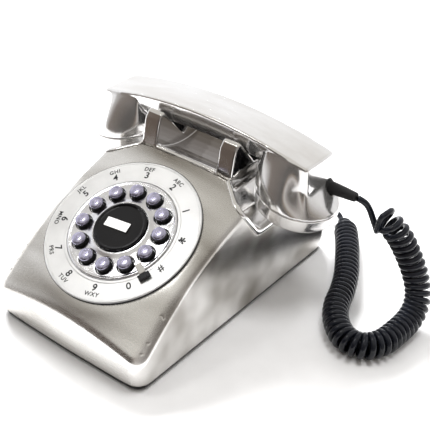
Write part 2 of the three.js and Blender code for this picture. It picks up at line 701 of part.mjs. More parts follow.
// ---- handset cord ----
const LEAD = [[128.6, 63.5, 100.8], [131.2, 64.3, 100.2], [134.6, 66.6, 96.6], [136.8, 69.4, 90.8],
  [138.4, 71.2, 85.2]];
const COIL = [[145, 70.6, 89.6], [152.5, 72.2, 84.7], [160, 76.7, 74.4], [167, 81.4, 59.5], [175, 83.5, 42.7],
  [181.5, 81, 28], [184.3, 73.5, 17.8], [184.5, 62, 12.2], [183.3, 47, 10.8], [181.2, 31.6, 10.8],
  [175, 20.6, 10.8], [165.5, 16, 10.8], [154, 18.8, 10.8], [141, 30.2, 10.8], [131.6, 46, 10.8],
  [125.4, 64.5, 10.8], [116.6, 84.8, 10.8], [104.6, 106, 10.8], [91, 127.6, 10.8], [78, 145, 10.8],
  [66, 156, 10.8]];
const TAIL = [[64.6, 157, 10.8], [56, 159.6, 11.4], [48.5, 154.5, 13.4], [45.2, 146, 15.6], [45, 137.4, 16.6]];

function strainRelief() {
  const length = GLAND_LENGTH;
  const profile = [[0, 0], [6, 0], [6, 2.2], [4.9, 3], [4.7, 9], [4.2, 18], [3.6, length], [0, length]];
  return turned(profile, 16);
}

function plug() {
  const nose = box(-5.1, 5.1, -8, 5.5, -3.2, 3.2);
  const latch = box(-1.4, 1.4, -6, 6, -4.9, -3);
  return union(nose, latch, box(-3.6, 3.6, 5, 14.6, -2.8, 2.8));
}

// ---- assembly ----
place(phone, 'shell', shell(), 'brushed');
place(phone, 'base_plate', basePlate(), 'black');
for (const [side, x] of [['left', -FOOT_X], ['right', FOOT_X]]) {
  for (const [end, y] of [['front', -FOOT_Y], ['rear', FOOT_Y]]) {
    place(phone, `foot_${end}_${side}`, foot(), 'rubber').position.set(x, y, 0);
  }
}
place(phone, 'shell_screw_front', shellScrew(), 'steel').position.set(0, -SCREW_Y, 0);
place(phone, 'shell_screw_rear', shellScrew(), 'steel').position.set(0, SCREW_Y, 0);
place(phone, 'main_board', mainBoard(), 'board');
place(phone, 'ringer', ringer(), 'black').position.set(0, -58, 0);
place(phone, 'line_jack', jack(5.2, 10), 'black').position.set(LINE_JACK_X, JACK_MOUTH_Y, JACK_Z);
place(phone, 'cord_jack', jack(5.4, 8.6), 'black').position.set(CORD_JACK_X, JACK_MOUTH_Y, JACK_Z);

place(cradleGroup, 'cradle', cradle(), 'chrome');
place(cradleGroup, 'hook_switch', hookSwitch(), 'steel');
place(cradleGroup, 'hook_lever', hookLever(), 'steel');
place(cradleGroup, 'hook_plunger_left', plunger(), 'black').position.x = -PLUNGER_X;
place(cradleGroup, 'hook_plunger_right', plunger(), 'black').position.x = PLUNGER_X;

place(handset, 'handset_body', handsetBody(), 'chrome');
CUP_FRAMES.forEach((frame, i) => {
  const [capName, capsuleName] = i === 0 ? ['mouth_cap', 'mouth_capsule'] : ['ear_cap', 'ear_capsule'];
  place(handset, capName, cap(), 'chrome').applyMatrix4(frame);
  place(handset, capsuleName, capsule(), 'black').applyMatrix4(frame);
});
const gland = place(handset, 'strain_relief', strainRelief(), 'rubber');
gland.position.set(GLAND_START, GLAND_Y, GLAND_Z);
gland.rotation.y = Math.PI / 2;

place(dial, 'number_ring', numberRing(), 'satin');
place(dial, 'finger_wheel', fingerWheel(), 'chrome');
place(dial, 'keypad_housing', keypadHousing(), 'satin');
place(dial, 'centre_disc', centreDisc(), 'gloss');
const card = box(-CARD_HALF[0], CARD_HALF[0], -CARD_HALF[1], CARD_HALF[1], DISC_TOP + GAP, DISC_TOP + 0.9);
place(dial, 'label_card', card.rotate([0, 0, CARD_TURN]), 'card').position.set(-2.3, 0.1, 0);
place(dial, 'finger_stop', fingerStop(), 'chrome');
place(dial, 'stop_block', stopBlock(), 'black');
place(dial, 'key_mat', rod(41.5, 0, 0, -16, -14.4, 40), 'rubber');
place(dial, 'key_board', rod(44, 0, 0, -18.2, -16.6, 40), 'board');
const KEY_NAMES = ['2', '1', 'star', 'hash', '0', '9', '8', '7', '6', '5', '4', '3'];
buttonSpots().forEach(([x, y], i) => {
  place(dial, `button_${KEY_NAMES[i]}`, buttonStem(), 'black').position.set(x, y, 0);
  place(dial, `button_cap_${KEY_NAMES[i]}`, buttonCap(), 'lens').position.set(x, y, 0);
});

place(phone, 'cord_plug', plug(), 'clear').position.set(CORD_JACK_X, JACK_MOUTH_Y + 1, JACK_Z - 0.1);
place(phone, 'cord_lead', tube(LEAD, CORD_RADIUS, 8, 6), 'cord');
place(phone, 'cord_coil', tube(COIL, COIL_RADIUS, 10, 36), 'cord');
place(phone, 'cord_tail', tube(TAIL, CORD_RADIUS, 8, 10), 'cord');

export default phone;
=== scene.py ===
"""A push-button desk telephone with a round dial face: its visible surfaces, materials, light and camera.

Everything is laid out in the part's frame. Sizes are in millimetres and become metres in mesh_object().
"""
import itertools
import json
import math

import bmesh
import bpy
import numpy as np
from mathutils import Matrix, Vector

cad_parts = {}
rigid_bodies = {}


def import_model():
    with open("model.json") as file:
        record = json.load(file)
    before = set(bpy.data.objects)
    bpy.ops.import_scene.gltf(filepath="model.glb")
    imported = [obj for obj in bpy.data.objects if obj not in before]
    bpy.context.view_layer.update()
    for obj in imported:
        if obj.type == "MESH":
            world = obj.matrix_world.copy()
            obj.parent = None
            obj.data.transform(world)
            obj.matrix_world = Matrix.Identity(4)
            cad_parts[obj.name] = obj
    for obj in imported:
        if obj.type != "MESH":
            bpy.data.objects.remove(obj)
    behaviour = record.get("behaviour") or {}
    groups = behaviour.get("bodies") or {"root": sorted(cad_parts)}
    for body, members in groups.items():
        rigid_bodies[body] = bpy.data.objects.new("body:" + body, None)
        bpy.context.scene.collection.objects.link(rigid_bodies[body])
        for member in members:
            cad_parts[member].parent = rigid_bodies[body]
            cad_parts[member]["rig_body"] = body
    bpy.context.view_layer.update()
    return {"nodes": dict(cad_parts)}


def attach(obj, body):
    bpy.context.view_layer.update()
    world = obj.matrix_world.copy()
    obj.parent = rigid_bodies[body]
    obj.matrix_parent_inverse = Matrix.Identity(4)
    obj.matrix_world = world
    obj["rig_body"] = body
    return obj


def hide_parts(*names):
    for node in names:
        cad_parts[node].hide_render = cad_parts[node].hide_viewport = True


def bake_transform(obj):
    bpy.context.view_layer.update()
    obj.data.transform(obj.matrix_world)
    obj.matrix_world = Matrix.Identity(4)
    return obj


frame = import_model()

MM = 0.001

# ---- driving dimensions: the CAD model's, but for FINGER_HOLE and BEVEL_SLOPE, which are smaller here ----
BODY_HALF_WIDTH = 73.5
BODY_HALF_DEPTH = 122
BODY_CORNER = 11
SHELL_BOTTOM = 4.7
WALL = 3
FRONT_BOW = 2
DIAL_Y = -56.2
DIAL_Z = 77.2
DIAL_TILT = math.radians(27.05)
RING_RADIUS = 62
RING_INNER = 43.6
RING_THICKNESS = 1.6
FACE_SCALE = 0.88           # from a height above the face to a distance from it
FACE_DEPTH = 2
FACE_FLAT = 62.5
FACE_TOP = 107
BEVEL_START = 66
BEVEL_SLOPE = 0.6839
BACK_TOP = 98
BACK_DROP = 53
BACK_POWER = 2.2
BACK_CROWN = 0.0016
CRADLE_Y = 51
BLOCK_HALF_WIDTH = 45
BLOCK_HALF_DEPTH = 35.3
BLOCK_TOP = 93
SHELF_Z = 66
SHEET = 2.3
HORN_CENTRE = 37.5
HORN_HALF_WIDTH = 7.5
HANDLE_HALF_WIDTH = 18.75
HANDLE_TOP = 139.6
HANDLE_BOTTOM = 117.5
HANDLE_KEEL = 10
HANDLE_END = 82
ARCH = 0.00122
KEEL_ARCH = 0.0008
CUP_X = 84.4
CUP_Z = 93.3
CUP_RADIUS = 33.6
CUP_TILT = math.radians(12)
CAP_HEIGHT = 14
CAP_HOLE_CIRCLE = 9
CAP_HOLE_RADIUS = 1.5
CAPSULE_HOLLOW = 29
BUTTON_CIRCLE = 32.6
FIRST_BUTTON = 15           # degrees clockwise from the top of the dial
BUTTON_SPACING = 30
BUTTON_RADIUS = 5.6
FINGER_HOLE = 6.4
STOP_ANGLE = 120
STOP_CIRCLE = 48.9
DISC_RADIUS = 21
GLAND = (101.4, CRADLE_Y + 12.5, 100.8)
GLAND_LENGTH = 26
GLAND_RADIUS = 6.2
FOOT_X = 56
FOOT_Y = 100
PLUNGER_BORE = 4.6
KEY_NAMES = ["2", "1", "star", "hash", "0", "9", "8", "7", "6", "5", "4", "3"]

DIAL_FRAME = Matrix.Translation((0, DIAL_Y, DIAL_Z)) @ Matrix.Rotation(DIAL_TILT, 4, "X")


# ---- camera ----
CAMERA_PLACE = (398.3, -468.5, 472.2)
CAMERA_TARGET = (1.38, 56.1, 33.9)
CAMERA_ROLL = math.radians(2.110)
CAMERA_LENS = 78.11


def make_camera():
    data = bpy.data.cameras.new("camera")
    data.sensor_width = 36
    data.lens = CAMERA_LENS
    data.clip_start = 0.01
    camera = bpy.data.objects.new("camera", data)
    bpy.context.scene.collection.objects.link(camera)
    place = Vector(CAMERA_PLACE) * MM
    target = Vector(CAMERA_TARGET) * MM
    forward = (target - place).normalized()
    level = forward.cross(Vector((0, 0, 1))).normalized()
    rise = level.cross(forward)
    right = level * math.cos(CAMERA_ROLL) + rise * math.sin(CAMERA_ROLL)
    up = rise * math.cos(CAMERA_ROLL) - level * math.sin(CAMERA_ROLL)
    axes = Matrix((right, up, -forward)).transposed()
    camera.matrix_world = Matrix.Translation(place) @ axes.to_4x4()
    bpy.context.scene.camera = camera


# ---- materials ----
def shader(name, color, metallic, roughness, **settings):
    """A material with its principled shader; settings are the shader's own sockets."""
    material = bpy.data.materials.new(name)
    material.use_nodes = True
    principled = material.node_tree.nodes["Principled BSDF"]
    principled.inputs["Base Color"].default_value = (*color, 1)
    principled.inputs["Metallic"].default_value = metallic
    principled.inputs["Roughness"].default_value = roughness
    for socket, value in settings.items():
        principled.inputs[socket.replace("_", " ")].default_value = value
    return material


def noise(material, scale, stretch=(1, 1, 1), detail=4):
    """A noise texture in the part's frame, scale in features per metre."""
    tree = material.node_tree
    place = tree.nodes.new("ShaderNodeTexCoord")
    mapping = tree.nodes.new("ShaderNodeMapping")
    mapping.inputs["Scale"].default_value = stretch
    texture = tree.nodes.new("ShaderNodeTexNoise")
    texture.inputs["Scale"].default_value = scale
    texture.inputs["Detail"].default_value = detail
    tree.links.new(place.outputs["Object"], mapping.inputs["Vector"])
    tree.links.new(mapping.outputs["Vector"], texture.inputs["Vector"])
    return texture.outputs["Fac"]


def vary_roughness(material, source, low, high):
    """Lets the roughness run from low to high with a noise."""
    tree = material.node_tree
    span = tree.nodes.new("ShaderNodeMapRange")
    span.inputs["From Min"].default_value = 0.3
    span.inputs["From Max"].default_value = 0.7
    span.inputs["To Min"].default_value = low
    span.inputs["To Max"].default_value = high
    tree.links.new(source, span.inputs["Value"])
    tree.links.new(span.outputs["Result"], tree.nodes["Principled BSDF"].inputs["Roughness"])


def vary_color(material, source, low, high):
    """Lets the colour run from low to high with a noise or a mask."""
    tree = material.node_tree
    ramp = tree.nodes.new("ShaderNodeValToRGB")
    ramp.color_ramp.elements[0].position = 0.3
    ramp.color_ramp.elements[1].position = 0.7
    ramp.color_ramp.elements[0].color = (*low, 1)
    ramp.color_ramp.elements[1].color = (*high, 1)
    tree.links.new(source, ramp.inputs["Fac"])
    tree.links.new(ramp.outputs["Color"], tree.nodes["Principled BSDF"].inputs["Base Color"])


def add_bump(material, source, strength, distance):
    tree = material.node_tree
    bump = tree.nodes.new("ShaderNodeBump")
    bump.inputs["Strength"].default_value = strength
    bump.inputs["Distance"].default_value = distance
    tree.links.new(source, bump.inputs["Height"])
    tree.links.new(bump.outputs["Normal"], tree.nodes["Principled BSDF"].inputs["Normal"])


def brushed_metal():
    """Warm grey metal, brushed from side to side, with fine scratches, and broad dark and pale streaks of
    painted reflection in its colour.
    """
    material = shader("brushed", (0.62, 0.60, 0.565), 1, 0.3, Anisotropic=0.75)
    lines = noise(material, 1.0, stretch=(28, 2600, 2600), detail=3)
    # broad dark and pale streaks in the colour: painted reflection, standing for what the brushed face
    # mirrors
    painted_reflection_streaks = noise(material, 8, stretch=(0.7, 3, 3), detail=2)
    vary_color(material, painted_reflection_streaks, (0.26, 0.235, 0.20), (0.96, 0.95, 0.93))
    vary_roughness(material, lines, 0.22, 0.34)
    add_bump(material, lines, 0.10, 0.0001)
    tree = material.node_tree
    tangent = tree.nodes.new("ShaderNodeTangent")
    tangent.direction_type = "UV_MAP"
    tree.links.new(tangent.outputs["Tangent"], tree.nodes["Principled BSDF"].inputs["Tangent"])
    return material


def chrome():
    """Bright plating with faint handling marks."""
    material = shader("chrome", (0.80, 0.79, 0.78), 1, 0.1)
    vary_roughness(material, noise(material, 60), 0.07, 0.15)
    add_bump(material, noise(material, 45, detail=2), 0.04, 0.0004)
    return material


def polished_metal():
    """The handset's metal: polished, with a fine grain along it that softens what it mirrors."""
    material = shader("polished", (0.78, 0.77, 0.76), 0.88, 0.17)
    grain = noise(material, 1.0, stretch=(1500, 120, 1500), detail=3)
    vary_color(material, noise(material, 14, stretch=(1, 3, 3)), (0.70, 0.68, 0.66), (0.84, 0.84, 0.84))
    vary_roughness(material, grain, 0.11, 0.21)
    add_bump(material, grain, 0.05, 0.0001)
    return material


def cradle_metal():
    """Bright plating, darkened to brown in the pan by a mask on the mesh: painted shade."""
    material = chrome()
    tree = material.node_tree
    mask = tree.nodes.new("ShaderNodeAttribute")
    mask.attribute_name = "pan_painted_shade"
    # the dark brown where the mask is high is painted shade in the pan
    vary_color(material, mask.outputs["Fac"], (0.80, 0.79, 0.78), (0.20, 0.18, 0.165))
    return material


def dished_metal():
    """The finger wheel's bright pressed sheet, which mirrors in short streaks."""
    material = shader("dished", (0.80, 0.80, 0.82), 1, 0.2)
    waves = noise(material, 80, detail=1)
    vary_roughness(material, noise(material, 400), 0.14, 0.26)
    vary_color(material, noise(material, 70), (0.70, 0.70, 0.73), (0.88, 0.88, 0.90))
    add_bump(material, waves, 0.25, 0.001)
    return material


def satin_metal():
    """The number ring's fine, dull plating."""
    material = shader("satin", (0.68, 0.68, 0.68), 0.8, 0.34)
    grain = noise(material, 900)
    vary_roughness(material, grain, 0.28, 0.40)
    vary_color(material, noise(material, 35), (0.60, 0.60, 0.60), (0.74, 0.74, 0.74))
    add_bump(material, grain, 0.06, 0.0001)
    return material


def plastic(name, low, high, roughness, grain=1400, strength=0.05, **settings):
    """Moulded plastic or rubber with a fine grain, and a colour that wanders between low and high."""
    material = shader(name, high, 0, roughness, Specular_IOR_Level=0.35, **settings)
    texture = noise(material, grain)
    vary_color(material, noise(material, 40), low, high)
    vary_roughness(material, texture, roughness * 0.8, roughness * 1.25)
    add_bump(material, texture, strength, 0.0001)
    return material


def steel():
    material = shader("steel", (0.6, 0.6, 0.61), 1, 0.35)
    vary_roughness(material, noise(material, 300), 0.28, 0.42)
    vary_color(material, noise(material, 60), (0.55, 0.55, 0.56), (0.66, 0.66, 0.67))
    return material


def lens():
    """A clear dome over a silver insert."""
    material = shader("lens", (0.40, 0.39, 0.50), 0.85, 0.2, Coat_Weight=1.0, Coat_Roughness=0.03)
    vary_color(material, noise(material, 260), (0.30, 0.29, 0.41), (0.50, 0.48, 0.62))
    vary_roughness(material, noise(material, 500), 0.18, 0.28)
    return material


MATERIALS = {
    "brushed": brushed_metal(),
    "chrome": chrome(),
    "polished": polished_metal(),
    "dished": dished_metal(),
    "cradle": cradle_metal(),
    "satin": satin_metal(),
    "steel": steel(),
    "black": plastic("black", (0.008, 0.008, 0.009), (0.014, 0.014, 0.016), 0.3),
    "gloss": plastic("gloss", (0.003, 0.003, 0.004), (0.005, 0.005, 0.006), 0.05, strength=0.01),
    "rubber": plastic("rubber", (0.009, 0.009, 0.01), (0.018, 0.018, 0.019), 0.6, strength=0.2),
    "cord": plastic("cord", (0.005, 0.006, 0.010), (0.010, 0.012, 0.018), 0.22, strength=0.02),
    "lens": lens(),
    "card": plastic("card", (0.80, 0.80, 0.79), (0.90, 0.90, 0.89), 0.55),
    "board": plastic("board", (0.012, 0.09, 0.035), (0.02, 0.13, 0.055), 0.4),
    "clear": plastic("clear", (0.60, 0.63, 0.65), (0.74, 0.77, 0.79), 0.12, Transmission_Weight=0.6),
}


def coat(piece, slot):
    """Gives a piece the material that slot names."""
    piece.data.materials.clear()
    piece.data.materials.append(MATERIALS[slot])


# ---- mesh helpers ----
def mesh_object(name, points, faces, slot, body="base"):
    """A piece from points in millimetres, with its finish and, if one is named, the body it rides on."""
    mesh = bpy.data.meshes.new(name)
    mesh.from_pydata((np.asarray(points, float) * MM).tolist(), [], [tuple(map(int, f)) for f in faces])
    mesh.validate()
    mesh.shade_smooth()
    piece = bpy.data.objects.new(name, mesh)
    bpy.context.scene.collection.objects.link(piece)
    coat(piece, slot)
    if body:
        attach(piece, body)
    return piece


def smooth_max(a, b, r):
    """The larger of a and b, with the crease between them rounded off over r millimetres."""
    h = np.maximum(r - np.abs(a - b), 0)
    return np.maximum(a, b) + h * h / (4 * r)


def smooth_min(a, b, r):
    return -smooth_max(-a, -b, r)


def smooth_step(x, low, high):
    t = np.clip((x - low) / (high - low), 0, 1)
    return t * t * (3 - 2 * t)


def outline_distance(u, v, corners):
    """Distance from (u, v) to a closed outline, negative inside it."""
    best = np.inf
    sign = 1.0
    for (ax, ay), (bx, by) in zip(corners, corners[-1:] + corners[:-1]):
        ex, ey = bx - ax, by - ay
        wx, wy = u - ax, v - ay
        t = np.clip((wx * ex + wy * ey) / (ex * ex + ey * ey), 0, 1)
        best = np.minimum(best, (wx - ex * t) ** 2 + (wy - ey * t) ** 2)
        above, below, left = v >= ay, v < by, ex * wy > ey * wx
        crossed = (above & below & left) | (~above & ~below & ~left)
        sign = np.where(crossed, -sign, sign)
    return sign * np.sqrt(best)


def skin(field, low, high, step):
    """Points and quads on the surface where field(x, y, z) is zero; the field is negative inside."""
    axes = [np.arange(a - 1.5 * step, b + 2.5 * step, step) for a, b in zip(low, high)]
    shape = tuple(len(axis) for axis in axes)
    values = np.broadcast_to(field(*np.meshgrid(*axes, indexing="ij", sparse=True)), shape)
    cells = np.array(shape) - 1
    total = np.zeros((*cells, 3))
    count = np.zeros(tuple(cells))
    crossings = []
    for axis in range(3):
        first = np.moveaxis(values, axis, 0)[:-1]
        second = np.moveaxis(values, axis, 0)[1:]
        cross = (first < 0) != (second < 0)
        share = np.where(cross, first / np.where(cross, first - second, 1), 0)
        cross, share = np.moveaxis(cross, 0, axis), np.moveaxis(share, 0, axis)
        crossings.append(cross)
        others = [k for k in range(3) if k != axis]
        for offset in itertools.product((0, 1), repeat=2):
            window = [slice(None)] * 3
            for k, o in zip(others, offset):
                window[k] = slice(o, o + cells[k])
            hit = cross[tuple(window)]
            count += hit
            total[..., axis] += share[tuple(window)]
            for k, o in zip(others, offset):
                total[..., k] += o * hit
    used = count > 0
    number = np.full(used.shape, -1)
    number[used] = np.arange(used.sum())
    points = np.argwhere(used) + total[used] / count[used][:, None]
    points = points * step + np.array([axis[0] for axis in axes])
    quads = []
    for axis, cross in enumerate(crossings):
        u, v = (axis + 1) % 3, (axis + 2) % 3
        at = np.argwhere(cross)
        keep = (at[:, u] > 0) & (at[:, u] < cells[u]) & (at[:, v] > 0) & (at[:, v] < cells[v])
        at = at[keep]
        corners = []
        for du, dv in ((-1, -1), (0, -1), (0, 0), (-1, 0)):
            cell = at.copy()
            cell[:, u] += du
            cell[:, v] += dv
            corners.append(number[tuple(cell.T)])
        quad = np.stack(corners, 1)
        outside_first = values[tuple(at.T)] >= 0
        quad[outside_first] = quad[outside_first][:, ::-1]
        quads.append(quad)
    return settle(field, points, step), np.concatenate(quads)


def settle(field, points, step, rounds=5, probe=0.02):
    """Moves points down the field's slope until they lie on its zero surface."""
    for _ in range(rounds):
        here = field(*points.T)
        slope = np.zeros_like(points)
        for axis in range(3):
            shift = np.zeros(3)
            shift[axis] = probe
            slope[:, axis] = (field(*(points + shift).T) - field(*(points - shift).T)) / (2 * probe)
        move = -(here / np.maximum((slope ** 2).sum(1), 0.05))[:, None] * slope
        length = np.maximum(np.linalg.norm(move, axis=1, keepdims=True), 1e-9)
        points = points + move * np.minimum(1, 0.5 * step / length)
    return points


def rounded(profile, radius, steps=4, closed=False):
    """The same outline with each corner turned into a short curve."""
    corners = [np.array(p, float) for p in profile]
    count = len(corners)
    points = [] if closed else [corners[0]]
    for i in range(count) if closed else range(1, count - 1):
        before, corner, after = corners[i - 1], corners[i], corners[(i + 1) % count]
        arms = []
        for end in (before, after):
            length = np.linalg.norm(end - corner)
            arms.append(corner + (end - corner) * min(radius, 0.45 * length) / length)
        for t in np.linspace(0, 1, steps + 1):
            points.append((1 - t) ** 2 * arms[0] + 2 * t * (1 - t) * corner + t * t * arms[1])
    if not closed:
        points.append(corners[-1])
    return points


def turned(profile, radius=0.4, sides=96, closed=False):
    """Points and faces of a body turned about Z from [radius, height] pairs."""
    outline = rounded(profile, radius, closed=closed)
    points, rings = [], []
    for r, h in outline:
        if r < 1e-6:
            rings.append([len(points)])
            points.append((0, 0, h))
            continue
        rings.append(list(range(len(points), len(points) + sides)))
        angles = [2 * math.pi * k / sides for k in range(sides)]
        points += [(r * math.cos(a), r * math.sin(a), h) for a in angles]
    if closed:
        rings.append(rings[0])
    faces = []
    for low, high in zip(rings, rings[1:]):
        for k in range(sides):
            n = (k + 1) % sides
            if len(low) == 1 and len(high) == 1:
                continue
            if len(low) == 1:
                faces.append((low[0], high[n], high[k]))
            elif len(high) == 1:
                faces.append((low[k], low[n], high[0]))
            else:
                faces.append((low[k], low[n], high[n], high[k]))
    return points, faces


def moved(points, matrix):
    return [matrix @ Vector(p) for p in points]


def steady_shading(piece):
    """Keeps broad flat faces flat beside the small curves at their edges."""
    modifier = piece.modifiers.new("weighted", "WEIGHTED_NORMAL")
    modifier.keep_sharp = True
    modifier.weight = 90


def lathe_piece(name, profile, slot, matrix, body="base", **options):
    points, faces = turned(profile, **options)
    piece = mesh_object(name, moved(points, matrix), faces, slot, body)
    steady_shading(piece)
    return piece


def skin_piece(name, field, low, high, step, slot, body="base", matrix=None):
    points, quads = skin(field, low, high, step)
    if matrix is not None:
        points = moved(points, matrix)
    return mesh_object(name, points, quads, slot, body)


def softened(node, slot, width):
    """The CAD node's own shape with its sharp edges rounded, standing for that node."""
    source = frame["nodes"][node]
    mesh = bmesh.new()
    mesh.from_mesh(source.data)
    bmesh.ops.remove_doubles(mesh, verts=mesh.verts, dist=1e-6)
    bmesh.ops.dissolve_limit(mesh, angle_limit=math.radians(3), verts=mesh.verts, edges=mesh.edges)
    data = bpy.data.meshes.new(f"{node}_smooth")
    mesh.to_mesh(data)
    mesh.free()
    data.shade_smooth()
    piece = bpy.data.objects.new(data.name, data)
    bpy.context.scene.collection.objects.link(piece)
    bevel = piece.modifiers.new("bevel", "BEVEL")
    bevel.width = width * MM
    bevel.segments = 3
    bevel.limit_method = "ANGLE"
    bevel.angle_limit = math.radians(35)
    bevel.use_clamp_overlap = True
    steady_shading(piece)
    coat(piece, slot)
    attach(piece, source["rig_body"])
    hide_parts(node)
    return piece


# ---- body shell ----
BODY_LEVELS = np.array([
    [SHELL_BOTTOM, BODY_HALF_WIDTH, -120.8, 121],
    [14, BODY_HALF_WIDTH + 0.5, -BODY_HALF_DEPTH, BODY_HALF_DEPTH],
    [26, BODY_HALF_WIDTH + 0.2, -121.8, BODY_HALF_DEPTH],
    [38, BODY_HALF_WIDTH - 0.5, -120.8, 121.6],
    [60, BODY_HALF_WIDTH - 1.3, -118, 120],
    [92, BODY_HALF_WIDTH - 2.4, -114, 117],
    [120, BODY_HALF_WIDTH - 3.2, -110, 114],
])
LEVEL_CURVES = [np.polyfit(BODY_LEVELS[:, 0], BODY_LEVELS[:, k], 4) for k in (1, 2, 3)]


def body_plan(x, y, z, corner=BODY_CORNER):
    """The outer walls: at each height, a rectangle with round corners and a bowed front edge."""
    half, front, rear = (np.polyval(curve, z) for curve in LEVEL_CURVES)
    bow = FRONT_BOW * np.clip((x / BODY_HALF_WIDTH) ** 2, 0, 1) * np.clip(-y / 100, 0, 1)
    across = np.abs(x) - (half - corner)
    along = np.abs(y - bow - (front + rear) / 2) - ((rear - front) / 2 - corner)
    outside = np.hypot(np.maximum(across, 0), np.maximum(along, 0))
    return outside + np.minimum(np.maximum(across, along), 0) - corner


BACK_LENGTH = BODY_HALF_DEPTH - CRADLE_Y - BLOCK_HALF_DEPTH


def back_run(y):
    """How far a place is down the curved back, as a share of its length."""
    return np.clip((y - CRADLE_Y - BLOCK_HALF_DEPTH) / BACK_LENGTH, 0, 1.1)


def body_top(x, y):
    """The height of the tilted face, of the flat top behind it and of the curved back."""
    plane = DIAL_Z + math.tan(DIAL_TILT) * (y - DIAL_Y) - FACE_DEPTH / math.cos(DIAL_TILT)
    radius = np.hypot(x, (y - DIAL_Y) / math.cos(DIAL_TILT))
    fall = 0.4 - 0.15 * smooth_step(y, DIAL_Y - 30, DIAL_Y + 30)
    face = np.minimum(plane - fall * smooth_max(radius - FACE_FLAT, 0 * x, 5), FACE_TOP)
    back = BACK_TOP - BACK_DROP * back_run(y) ** BACK_POWER - BACK_CROWN * x * x
    return np.where(y > CRADLE_Y, back, face)


def body_form(x, y, z):
    """The whole body as one solid, before it is hollowed."""
    slope = BACK_DROP * BACK_POWER / BACK_LENGTH * back_run(y) ** (BACK_POWER - 1)
    scale = np.where(y > CRADLE_Y, 1 / np.hypot(1, slope), FACE_SCALE)
    height = z - body_top(x, y)
    band = height + BEVEL_SLOPE * (np.abs(x) - BEVEL_START)
    lid = smooth_max(height * scale, band * scale, 1.6)
    sides = smooth_max(lid, body_plan(x, y, z), 3.0)
    return smooth_max(sides, SHELL_BOTTOM - z, 1.0)


def recess(x, y, z):
    """The hollow beside the cradle block, where one end of the handset hangs."""
    inner = BLOCK_HALF_WIDTH - 2
    u = (np.abs(x) - inner) / (78 - inner)
    v = (z - SHELF_Z) / (112 - SHELF_Z)
    reach = smooth_min(29.5 + 30.7 * u + 7.8 * v, 29.5 + 4 * u + 34.5 * v, 8)
    ends = (np.abs(y - CRADLE_Y) - reach) * 0.8
    return smooth_max(smooth_max(ends, SHELF_Z - z, 4), inner - np.abs(x), 1)


def dial_bore(x, y, z, radius):
    """The round hole in the face, square to it, 20 mm deep."""
    up = (z - DIAL_Z) * math.cos(DIAL_TILT) - (y - DIAL_Y) * math.sin(DIAL_TILT)
    along = (z - DIAL_Z) * math.sin(DIAL_TILT) + (y - DIAL_Y) * math.cos(DIAL_TILT)
    return smooth_max(np.hypot(x, along) - radius, -20 - up, 1)


def shell_field(x, y, z):
    """The casing: the body's wall, open below and cut away for the cradle and the dial."""
    form = body_form(x, y, z)
    solid = smooth_max(form, -(body_form(x, y, np.maximum(z, SHELL_BOTTOM + WALL + 2)) + WALL), 0.5)
    block = np.maximum(np.abs(x) - BLOCK_HALF_WIDTH - 0.3, np.abs(y - CRADLE_Y) - BLOCK_HALF_DEPTH - 0.4)
    block = np.maximum(block, SHELF_Z - 10 - z)
    opening = np.minimum(np.minimum(recess(x, y, z), block), dial_bore(x, y, z, 46))
    return smooth_max(solid, -opening, 0.6)


def brush_lines(piece):
    """A map whose first direction runs the way the surface was brushed."""
    mesh = piece.data
    layer = mesh.uv_layers.new(name="brush")
    for face in mesh.polygons:
        side = abs(face.normal.x) > 0.75
        for corner in face.loop_indices:
            x, y, z = mesh.vertices[mesh.loops[corner].vertex_index].co
            layer.data[corner].uv = (y * 4, z * 4) if side else (x * 4, (y + z) * 4)


def make_shell():
    low = (-BODY_HALF_WIDTH - 1, -BODY_HALF_DEPTH - 1, SHELL_BOTTOM)
    high = (BODY_HALF_WIDTH + 1, BODY_HALF_DEPTH + 1, 112)
    piece = skin_piece("body_shell", shell_field, low, high, 1.35, "brushed")
    brush_lines(piece)
    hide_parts("shell")


# ---- base plate and feet ----
def make_base():
    inset = 1.2

    def plate(x, y, z):
        edge = body_plan(x, y, SHELL_BOTTOM + 0 * z) + inset
        solid = smooth_max(edge, np.abs(z - 2.8) - 1.6, 0.7)
        for cx, cy in itertools.product((-FOOT_X, FOOT_X), (-FOOT_Y, FOOT_Y)):
            solid = smooth_max(solid, 8.4 - np.hypot(x - cx, y - cy), 0.4)
        return solid

    piece = skin_piece("base_cover", plate, (-74, -122, 1.2), (74, 122, 4.4), 1.6, "black")
    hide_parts("base_plate")
    profile = [[0, 0], [6.4, 0], [7.6, 0.7], [8, 1.6], [8, 3.1], [0, 3.1]]
    for side, x in (("left", -FOOT_X), ("right", FOOT_X)):
        for end, y in (("front", -FOOT_Y), ("rear", FOOT_Y)):
            name = f"foot_{end}_{side}"
            pad = lathe_piece(f"{name}_pad", profile, "rubber", Matrix.Translation((x, y, 0)), sides=48)
            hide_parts(name)


# ---- cradle ----
def mirrored(half):
    """A whole outline from its front half, which ends on the centre line."""
    return half + [(-y, z) for y, z in reversed(half) if y != 0]


HORN = mirrored([(-35.3, 90), (-35.3, 102), (-31.6, 121.5), (-30.2, 126.2), (-27.2, 130.4),
                 (-23.6, 131.7), (-21.5, 129.6), (-4, 108.2), (0, 104.6)])
HORN_HOLLOW = mirrored([(-33, 60), (-33, 102), (-29.2, 121), (-26.5, 127), (-24, 128.3), (-4, 104.6),
                        (0, 101.5)])
PAN = mirrored([(-35.3, 90), (-35.3, 103.6), (-34.1, 105.4), (-32.3, 106.2), (-30.3, 105.6)]
               + [(y, 97 + 8 * (y / 31) ** 2) for y in (-26, -20, -13, -6.5, 0)])


